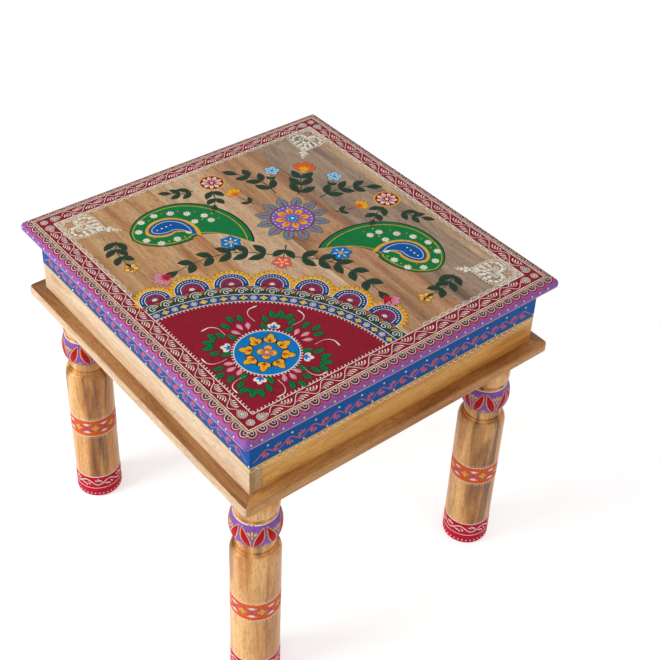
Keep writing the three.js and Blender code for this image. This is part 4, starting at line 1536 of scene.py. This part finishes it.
def paint_heart(zone, u, v, angle):
    """Lace heart that points to the middle of the top: a line with dots round it, a ring of seed
    beads, more beads and two spirals in it, curls over its notch and a stalk of dots. Each bead and
    each stalk dot has a larger grey copy set off towards +x and -y under it, a painted shadow."""
    def place(along, across):
        return placed(u, v, angle, along, across)

    zone.stroke("white", [place(*p) for p in heart_outline(41)], 0.55)
    for p in heart_outline(45, 52)[1:-1]:
        zone.dot("white", *place(*p), 0.75, sides=6)
    drops = 22
    ring = heart_outline(33, drops)
    beads = [
        (here, math.atan2(after[1] - before[1], after[0] - before[0]))
        for before, here, after in zip(ring, ring[1:], ring[2:])
    ]
    beads += [((10.6, 0.0), 0.0), ((5.4, 0.0), 0.0)]
    for side in (-1, 1):
        for along, across, lean in ((5.6, 5.0, 0.5), (0.6, 2.7, -0.3), (0.2, 9.0, 0.9)):
            beads.append(((along, side * across), side * lean))
    for middle, lean in beads:
        heading = lean + angle
        root = swung(*place(*middle), -2.5, heading)
        shape = {"fullness": 0.6, "blunt": 0.5}
        # Larger grey copy set off towards +x and -y under each white drop: painted shadow of the raised
        # drop
        zone.petal("pearl", root[0] + 0.4, root[1] - 0.3, heading, 5.6, 4.6, **shape)
        zone.petal("white", *root, heading, 5.2, 3.9, rise=RAISED, **shape)
    for side in (-1, 1):
        eye = place(-6.0, side * 6.9)
        zone.spiral("white", *eye, 4.2, 1.3, 0.75, start=angle, hand=-side, rise=RAISED)
        for along, across, radius in ((-21.5, 7.6, 4.0), (-25.0, 2.6, 2.4), (-18.0, 16.6, 2.8)):
            eye = place(along, side * across)
            zone.spiral("white", *eye, radius, 1.3, 0.5, start=angle + side * 1.2, hand=side)
    stalk = ((24.6, 2.7, 2.3), (29.2, 0.0, 2.3), (33.2, 1.3, 1.1), (36.4, 0.0, 0.9))
    for along, across, radius in stalk:
        for side in ((-1, 1) if across else (1,)):
            cu, cv = place(along, side * across)
            # Larger grey dot set off towards +x and -y under each white dot: painted shadow of the raised
            # dot
            zone.dot("pearl", cu + 0.4, cv - 0.3, radius + 0.3, sides=10)
            zone.dot("white", cu, cv, radius, lift=0.02, sides=10)
    for along, across in ((26.5, 6.0), (29.8, 3.8)):
        for side in (-1, 1):
            zone.dot("white", *place(along, side * across), 0.6, sides=6)
    zone.line("pearl", place(-15.0, 0), place(-31.0, 0), 0.42, steps=2)


# Flower garden on the bare wood. Places are (across, up), where up runs from the front
# corner to the back one and across to the right.
GARDEN_SCALE = 1.12
GARDEN_RISE = 7.0


def garden_surface():
    along = Vector((1, -1, 0)) / ROOT2 * GARDEN_SCALE
    up = Vector((1, 1, 0)) / ROOT2 * GARDEN_SCALE
    return flat_surface(Vector((1, 1, 0)) / ROOT2 * GARDEN_RISE + Vector((0, 0, TOP_Z)), along, up)


def leafy_stem(zone, path, leaf_length, leaf_width, pairs, first=0.2, tip=True):
    """A dark green stem with leaves in pairs along it."""
    count = len(path) - 1
    zone.stroke("leaf", path, [0.9 - 0.4 * i / count for i in range(count + 1)])
    for k in range(pairs):
        share = first + (1 - first) * k / max(pairs, 1)
        i = min(int(share * count), count - 1)
        f = share * count - i
        (u0, v0), (u1, v1) = path[i:i + 2]
        u, v = u0 + (u1 - u0) * f, v0 + (v1 - v0) * f
        heading = math.atan2(v1 - v0, u1 - u0)
        for side in (-1, 1):
            length = leaf_length * (1 - 0.25 * share)
            turn, bend = heading + side * 0.85, -side * 0.3
            zone.framed_petal("leaf", u, v, turn, length, leaf_width, bend=bend)
            zone.petal("dark", u, v, turn, length * 0.86, 0.8, bend=bend, lift=0.1, rise=THIN_COAT)
    if tip:
        (u0, v0), (u1, v1) = path[-2:]
        turn = math.atan2(v1 - v0, u1 - u0)
        zone.framed_petal("leaf", u1, v1, turn, leaf_length * 0.9, leaf_width)
        zone.petal("dark", u1, v1, turn, leaf_length * 0.75, 0.8, lift=0.1, rise=THIN_COAT)


def curve(points, steps=6):
    """A smooth line through a few places."""
    full = [points[0], *points, points[-1]]
    path = []
    for a, b, c, d in zip(full, full[1:], full[2:], full[3:]):
        for i in range(steps):
            t = i / steps
            place = []
            for p, q, r, s in zip(a, b, c, d):
                bent = (2 * p - 5 * q + 4 * r - s) * t * t + (3 * q - p - 3 * r + s) * t ** 3
                place.append(0.5 * (2 * q + (r - p) * t + bent))
            path.append(tuple(place))
    path.append(points[-1])
    return path


def flower(zone, u, v, petals, length, width, color, eye="gold", start=0.0, glint="white"):
    """A round flower with a glint on each petal."""
    for k in range(petals):
        turn = start + TURN * k / petals
        root = swung(u, v, length * 0.3, turn)
        zone.framed_petal(color, u, v, turn, length, width, fullness=0.62)
        zone.petal(glint, *root, turn, length * 0.42, width * 0.2, lift=0.1, rise=COAT)
    zone.dot(eye, u, v, width * 0.28, lift=0.1)


def tulip(zone, u, v, angle, size, color, tint):
    """An open flower seen from the side: five petals that fan out, each with a tinted heart."""
    for spread, share in ((-0.8, 0.92), (0.8, 0.92), (-0.4, 1.0), (0.4, 1.0), (0.0, 1.08)):
        turn, length = angle + spread, size * share
        zone.framed_petal(color, u, v, turn, length, size * 0.44, fullness=0.6)
        zone.petal(tint, u, v, turn, length * 0.55, size * 0.16, fullness=0.5, lift=0.1, rise=COAT)
    zone.dot(tint, u, v, size * 0.16, lift=0.1)


# Mango shape: how much larger it is drawn than its sizes say, how far its tip bends over, from
# what share of its length on, and how much of its length lies behind its middle
PAISLEY_SCALE = 1.12
TIP_BEND = 1.5
TIP_START = 0.45
PAISLEY_HEEL = 0.3


def paisley_outline(u, v, angle, length, width, side, steps=40):
    """A mango shape: a round body whose tip bends over to one side."""
    spine, halves = [], []
    for i in range(steps + 1):
        share = i / steps
        bend = side * TIP_BEND * max(share - TIP_START, 0) ** 1.4
        spine.append(swung(-length * PAISLEY_HEEL, 0, length * share, bend))
        halves.append(width / 2 * math.sin(math.pi * share ** 0.72) ** 0.8 if 0 < share < 1 else 0)
    left, right = [], []
    for i, (a, b) in enumerate(spine):
        before, after = spine[max(i - 1, 0)], spine[min(i + 1, steps)]
        sideways = math.atan2(after[1] - before[1], after[0] - before[0]) + QUARTER
        left.append(swung(a, b, halves[i], sideways))
        right.append(swung(a, b, -halves[i], sideways))
    return [placed(u, v, angle, *p) for p in right + left[-2:0:-1]]


def paint_paisley(zone, side):
    """Large green mango shape sown with white flowers, with a blue drop and a gold frill in it."""
    u, v, angle = side * 119.0, 8.0, QUARTER + side * 0.78

    def place(a, b):
        return placed(u, v, angle, a * PAISLEY_SCALE, b * PAISLEY_SCALE)

    def outline(a, length, width):
        sizes = (length * PAISLEY_SCALE, width * PAISLEY_SCALE)
        return paisley_outline(*place(a, 0), angle, *sizes, side)

    zone.patch("dark", outline(0, 102.0, 56.4), rise=0.03)
    zone.patch("green", outline(0, 100.0, 54.0), rise=0.06)
    zone.stroke("gold", outline(0, 94.0, 48.5), 0.5, lift=0.04, closed=True)
    zone.patch("gold", outline(-3.0, 46.0, 25.0), rise=0.1)
    zone.patch("blue", outline(-2.0, 40.0, 20.0), rise=0.14)
    zone.stroke("white", outline(-1.0, 33.0, 14.5), 0.45, lift=0.12, closed=True)
    for a in (-6.0, -1.5, 3.0, 7.5):
        zone.dot("white", *place(a, 0), 1.2 - 0.04 * abs(a), lift=0.12)
    blossoms = [
        (-20.0, -7.0), (-21.0, 7.0), (-13.0, 17.5), (-11.0, -17.5), (1.0, 20.0), (3.0, -19.5),
        (15.0, 17.0), (16.5, -14.5), (27.0, 7.5), (28.0, -6.0), (38.5, 5.0), (39.5, 14.0),
    ]
    petals = 8
    for k, (a, b) in enumerate(blossoms):
        eye = place(a, b * side)
        for i in range(petals):
            turn = TURN * i / petals + k
            zone.petal("white", *eye, turn, 4.1, 2.3, steps=3, fullness=0.6, lift=0.06)
        zone.dot("gold", *eye, 0.9, lift=0.1, sides=6)
        color = "orange" if k % 2 else "gold"
        zone.dot(color, *place(a + 7.0, (b + 1.2) * side), 1.0, lift=0.06, sides=6)


def paint_lotus(zone, u, v):
    """The garden's middle flower: slate petals with a red rib, then a violet disc with a ring of
    dots, gold petals and a pale blue eye."""
    outer = 12
    for k in range(outer):
        turn = TURN * k / outer
        root = swung(u, v, 17.0, turn)
        zone.framed_petal("slate", *root, turn, 19.0, 11.4, fullness=0.52, frame=0.6)
        zone.petal("red", *root, turn, 16.5, 2.0, fullness=0.5, lift=0.1, rise=THIN_COAT)
    zone.disc("dark", u, v, 21.6, steps=40, rise=0.13)
    zone.disc("violet", u, v, 20.8, steps=40, rise=0.16)
    dots = 24
    for k in range(dots):
        spot = swung(u, v, 18.9, TURN * (k + 0.5) / dots)
        zone.dot("white", *spot, 0.85, lift=0.16, sides=6)
    inner = 8
    for k in range(inner):
        turn = TURN * (k + 0.5) / inner
        root = swung(u, v, 5.5, turn)
        zone.petal("gold", *root, turn, 11.6, 7.6, fullness=0.58, lift=0.16, rise=0.06)
        zone.petal("orange", *root, turn, 8.0, 3.2, fullness=0.45, lift=0.2, rise=0.05)
    zone.disc("sky", u, v, 6.4, steps=20, rise=0.27)
    zone.dot("white", u, v, 2.0, lift=0.2, sides=12)
    for spot in ring_places(u, v, 4.4, inner):
        zone.dot("white", *spot, 0.7, lift=0.2, sides=6)


def paint_round_flower(zone, u, v):
    """A crimson disc in a gold ring, with nine white petals that have a coral heart."""
    zone.disc("gold", u, v, 13.2, steps=28, rise=0.04)
    zone.disc("crimson", u, v, 11.8, steps=28, rise=0.07)
    petals = 9
    for k in range(petals):
        turn = TURN * k / petals
        root = swung(u, v, 3.0, turn)
        zone.petal("white", *root, turn, 7.6, 4.2, fullness=0.62, lift=0.07)
        zone.petal("coral", *root, turn, 6.0, 1.7, fullness=0.6, lift=0.14, rise=0.06)
    zone.dot("white", u, v, 1.8, lift=0.07, sides=10)


def paint_garden(zone):
    """Flowers in the colours of the rest: a lotus in the middle, mango shapes left and right, leaf
    sprays and small flowers between them."""
    zone.on(garden_surface())
    paint_lotus(zone, 0.0, 44.0)

    def stem(points, leaf_length, leaf_width, pairs, side=1, **options):
        path = curve([(a * side, b) for a, b in points])
        leafy_stem(zone, path, leaf_length, leaf_width, pairs, **options)

    stem([(0, 86), (1.5, 100), (-1.0, 114), (0, 126)], 19, 8.8, 3, first=0.12, tip=False)
    tulip(zone, 0, 128, QUARTER, 17.0, "orange", "gold")
    stem([(0, 0), (0, -12), (0, -20)], 16, 8.0, 1, first=0.35, tip=False)
    flower(zone, 0, -27.0, 5, 9.5, 7.8, "coral", start=-QUARTER)

    for side in (-1, 1):
        lean = side * TURN / 8
        paint_paisley(zone, side)
        stem([(9, -17), (30, -17), (52, -22), (74, -36), (92, -56)], 18, 8.6, 5, side, first=0.12)
        flower(zone, side * 52.0, -4.0, 6, 10.2, 8.4, "sky", start=0.3 * side)
        stem([(44, -19), (49, -13), (51, -8)], 8, 4.0, 1, side, first=0.3, tip=False)
        tulip(zone, side * 98.0, -64.0, -QUARTER + lean, 15.5, "pink", "red")
        stem([(22, 84), (34, 98), (50, 108), (66, 111)], 17, 8.2, 3, side)
        shape = {"eye": "sky", "start": QUARTER, "glint": "sky"}
        flower(zone, side * 32.0, 124.0, 5, 8.2, 6.8, "pale_blue", **shape)
        stem([(30, 101), (31, 110), (32, 116)], 7, 3.6, 1, side, first=0.4, tip=False)
        tulip(zone, side * 60.0, 74.0, QUARTER - lean, 12.5, "gold", "orange")
        stem([(40, 62), (48, 66), (58, 72)], 10, 4.6, 1, side, first=0.3, tip=False)
        paint_round_flower(zone, side * 88.0, 92.0)
        stem([(86, 78), (80, 66), (78, 54)], 14, 7.0, 2, side, first=0.12)
        stem([(158, -20), (153, -36), (140, -52)], 16, 7.4, 3, side, first=0.1)
        stem([(104, 74), (114, 68), (124, 66)], 14, 6.6, 2, side, first=0.15)
        flower(zone, side * 134.0, -58.0, 5, 7.2, 6.0, "gold", eye="orange", start=0.2)


# The legs' paint is laid out flat, as far round as a cylinder of this radius, and wrapped on them
WRAP_RADIUS = 26.2
AROUND = TURN * WRAP_RADIUS


def ring(zone, color, z, half, **options):
    steps = 72
    path = [(AROUND * i / steps, z) for i in range(steps)]
    zone.stroke(color, path, half, closed=True, **options)


def dot_ring(zone, z, count, radius, shift=0.0):
    for k in range(count):
        zone.dot("white", AROUND * (k + shift) / count, z, radius, sides=6)


def paint_foot(zone):
    """White lines, a wave with three commas in each bow, and a row of dots on the crimson foot."""
    ring(zone, "white", FOOT_TOP, 0.75, rise=RAISED)
    ring(zone, "white", 15.0, 0.55)
    middle, swing, waves, steps = 24.4, 3.9, 6, 14
    span = AROUND / waves
    rises = [middle + swing * math.sin(TURN * i / steps) for i in range(waves * steps)]
    zone.stroke("white", [(span * i / steps, rise) for i, rise in enumerate(rises)], 0.8, closed=True)
    for k in range(waves):
        for shift, side in ((0.25, -1), (0.75, 1)):
            for i in (-1, 0, 1):
                head = span * (k + shift) + 3.2 * i, middle + side * (5.6 - 1.6 * abs(i))
                turn = -side * QUARTER - 0.3 * i
                zone.comma("white", *head, turn, 5.8 - abs(i), 2.3, 0.8, rise=RAISED)
    dot_ring(zone, 5.6, 34, 1.05)


def paint_band(zone):
    """Violet lines that cross into lozenges, yellow flowers in them and white commas between them
    on the orange band."""
    for z in (BAND_LOW, BAND_HIGH):
        ring(zone, "white", z, 0.6)
    for z in (BAND_LOW - 2.6, BAND_HIGH + 2.6):
        dot_ring(zone, z, 44, 0.75, shift=0.5)
    flowers = 8
    steps = 12
    span = AROUND / flowers
    middle = (BAND_LOW + BAND_HIGH) / 2
    bows = [abs(math.sin(TURN / 2 * i / steps)) for i in range(flowers * steps)]
    for swing in (-5.0, 5.0):
        path = [(span * i / steps, middle + swing * bow) for i, bow in enumerate(bows)]
        zone.stroke("violet", path, 0.55, closed=True)
    for k in range(flowers):
        for i in range(4):
            turn = QUARTER * i
            zone.petal("yellow", span * (k + 0.5), middle, turn, 4.6, 3.3, fullness=0.6, lift=0.02)
        for side in (-1, 1):
            for i in (-1, 1):
                head = span * k + 2.6 * i, middle + side * 6.6
                turn = -side * (QUARTER + i * 0.9)
                zone.comma("white", *head, turn, 7.4, 3.6, -i * side * 0.7, rise=RAISED)
        zone.dot("red", span * k, middle, 1.2, sides=8)


def paint_ball(zone):
    """Red petals edged in yellow that lean to and fro on the violet ball, and yellow sprigs in the
    wide gaps between them."""
    ring(zone, "white", BALL_PAINT_HIGH, 0.5)
    dot_ring(zone, BALL_PAINT_LOW + 1.2, 36, 0.7)
    petals = 12
    span = AROUND / petals
    for k in range(petals):
        side = 1 if k % 2 else -1
        foot = (span * (k + 0.5) + side * 4.6, BALL_LOW + 3.6)
        head = (span * (k + 0.5) - side * 4.6, BALL_LOW + 29.6)
        angle = math.atan2(head[1] - foot[1], head[0] - foot[0])
        reach = math.dist(foot, head)
        zone.framed_petal("red", *foot, angle, reach, 7.4, frame=1.2, edge="yellow", steps=14)
        if k % 2:
            continue
        sprig = span * k
        for i in (-1, 0, 1):
            root = sprig + 1.1 * i, BALL_LOW + 21.0
            zone.petal("yellow", *root, QUARTER - i * 0.6, 6.4, 2.5, fullness=0.66)
        zone.petal("yellow", sprig, BALL_LOW + 22.0, -QUARTER, 4.4, 2.0, steps=4)
        root = sprig + span, BALL_LOW + 5.4
        for i in (-1, 0, 1):
            zone.petal("yellow", *root, QUARTER + i * 0.9, 3.6, 1.9, steps=4)


def paint_legs(zone):
    for name in LEG_NAMES:
        zone.on(leg_surface(name, WRAP_RADIUS))
        paint_foot(zone)
        paint_band(zone)
        paint_ball(zone)


# Stage: pale floor, soft lights and the camera
def seen_rays(tree):
    """1 for what the camera sees straight, in a gloss or through something clear."""
    path = add_node(tree, "ShaderNodeLightPath")
    gloss = add_node(
        tree, "ShaderNodeMath", {"operation": "MAXIMUM"},
        {0: path.outputs["Is Glossy Ray"], 1: path.outputs["Is Transmission Ray"]},
    )
    seen = add_node(
        tree, "ShaderNodeMath", {"operation": "MAXIMUM"},
        {0: path.outputs["Is Camera Ray"], 1: gloss.outputs["Value"]},
    )
    return seen.outputs["Value"]


FLOOR_REACH = 9000.0
FLOOR_LEVEL = -0.3


def build_stage():
    bm = bmesh.new()
    corners = []
    for x, y in ((-1, -1), (1, -1), (1, 1), (-1, 1)):
        corners.append(bm.verts.new((x * FLOOR_REACH, y * FLOOR_REACH, FLOOR_LEVEL)))
    bm.faces.new(corners)
    material, tree = new_material("matt_white_studio_paper")
    paper = add_node(tree, "ShaderNodeBsdfDiffuse", inputs={"Color": grey(0.86)})
    glow = add_node(tree, "ShaderNodeEmission", inputs={"Color": grey(0.55), "Strength": 1.0})
    tinted = add_node(tree, "ShaderNodeBsdfDiffuse", inputs={"Color": grey(0.8)})
    shown = add_node(
        tree, "ShaderNodeAddShader", inputs={0: glow.outputs["Emission"], 1: tinted.outputs["BSDF"]},
    )
    surface = add_node(
        tree, "ShaderNodeMixShader",
        inputs={0: seen_rays(tree), 1: paper.outputs["BSDF"], 2: shown.outputs["Shader"]},
    )
    add_node(tree, "ShaderNodeOutputMaterial", inputs={"Surface": surface.outputs["Shader"]})
    floor = piece_from_bmesh("studio_floor", bm, [material])

    world = bpy.data.worlds.new("soft_studio")
    bpy.context.scene.world = world
    world.use_nodes = True
    tree = world.node_tree
    tree.nodes.clear()
    around = add_node(tree, "ShaderNodeBackground", inputs={"Color": grey(1.0), "Strength": 0.5})
    backdrop = add_node(tree, "ShaderNodeBackground", inputs={"Color": grey(1.0), "Strength": 1.0})
    shown = add_node(
        tree, "ShaderNodeMixShader",
        inputs={0: seen_rays(tree), 1: around.outputs["Background"], 2: backdrop.outputs["Background"]},
    )
    add_node(tree, "ShaderNodeOutputWorld", inputs={"Surface": shown.outputs["Shader"]})


def add_area_light(name, place, aim, size, power):
    lamp = bpy.data.lights.new(name, "AREA")
    lamp.shape = "SQUARE"
    lamp.size = size
    lamp.energy = power
    light = bpy.data.objects.new(name, lamp)
    light.location = place
    direction = Vector(aim) - Vector(place)
    light.rotation_euler = direction.to_track_quat("-Z", "Y").to_euler()
    bpy.context.scene.collection.objects.link(light)


def build_lights():
    add_area_light("key_softbox_left", (-2.3, 0.7, 1.45), (0, 0, 0.25), 1.3, 46.0)
    add_area_light("front_fill", (0.9, -2.6, 1.6), (0, 0, 0.2), 1.8, 12.0)


CAMERA_PLACE = Vector((-0.6540, -0.8429, 1.1826))
CAMERA_AIM = Vector((0.1487, 0.1029, 0.26))
CAMERA_ROLL = math.radians(2.69)
FOCAL_PIXELS = 1268.7
CROP_SHIFT = -0.12
FRAME_PIXELS = 660
SENSOR = 36.0


def build_camera():
    data = bpy.data.cameras.new("photograph_camera")
    data.sensor_width = SENSOR
    data.lens = FOCAL_PIXELS / FRAME_PIXELS * SENSOR
    data.shift_y = CROP_SHIFT
    data.clip_start = 0.01
    camera = bpy.data.objects.new("photograph_camera", data)
    forward = (CAMERA_AIM - CAMERA_PLACE).normalized()
    level_right = forward.cross(Vector((0, 0, 1))).normalized()
    level_up = level_right.cross(forward)
    right = level_right * math.cos(CAMERA_ROLL) + level_up * math.sin(CAMERA_ROLL)
    up = right.cross(forward)
    axes = Matrix((right, up, -forward)).transposed()
    camera.matrix_world = Matrix.Translation(CAMERA_PLACE) @ axes.to_4x4()
    bpy.context.scene.collection.objects.link(camera)
    bpy.context.scene.camera = camera


build_top_boards()
build_box_sides()
build_mouldings()
build_legs()
dress_hidden_pieces()

zones = (
    ("top_paint", "wood_top", (paint_border, paint_mandala, paint_rosette, paint_lace, paint_garden)),
    ("edge_paint", "wood_top", (paint_edge,)),
    ("box_paint", "wood_box", (paint_box_band,)),
    ("leg_paint", "wood_legs", (paint_legs,)),
)
for name, slot, painters in zones:
    zone = Zone(name, slot)
    for paint in painters:
        paint(zone)
    zone.finish()

build_stage()
build_lights()
build_camera()
bpy.context.scene.view_settings.view_transform = "Standard"
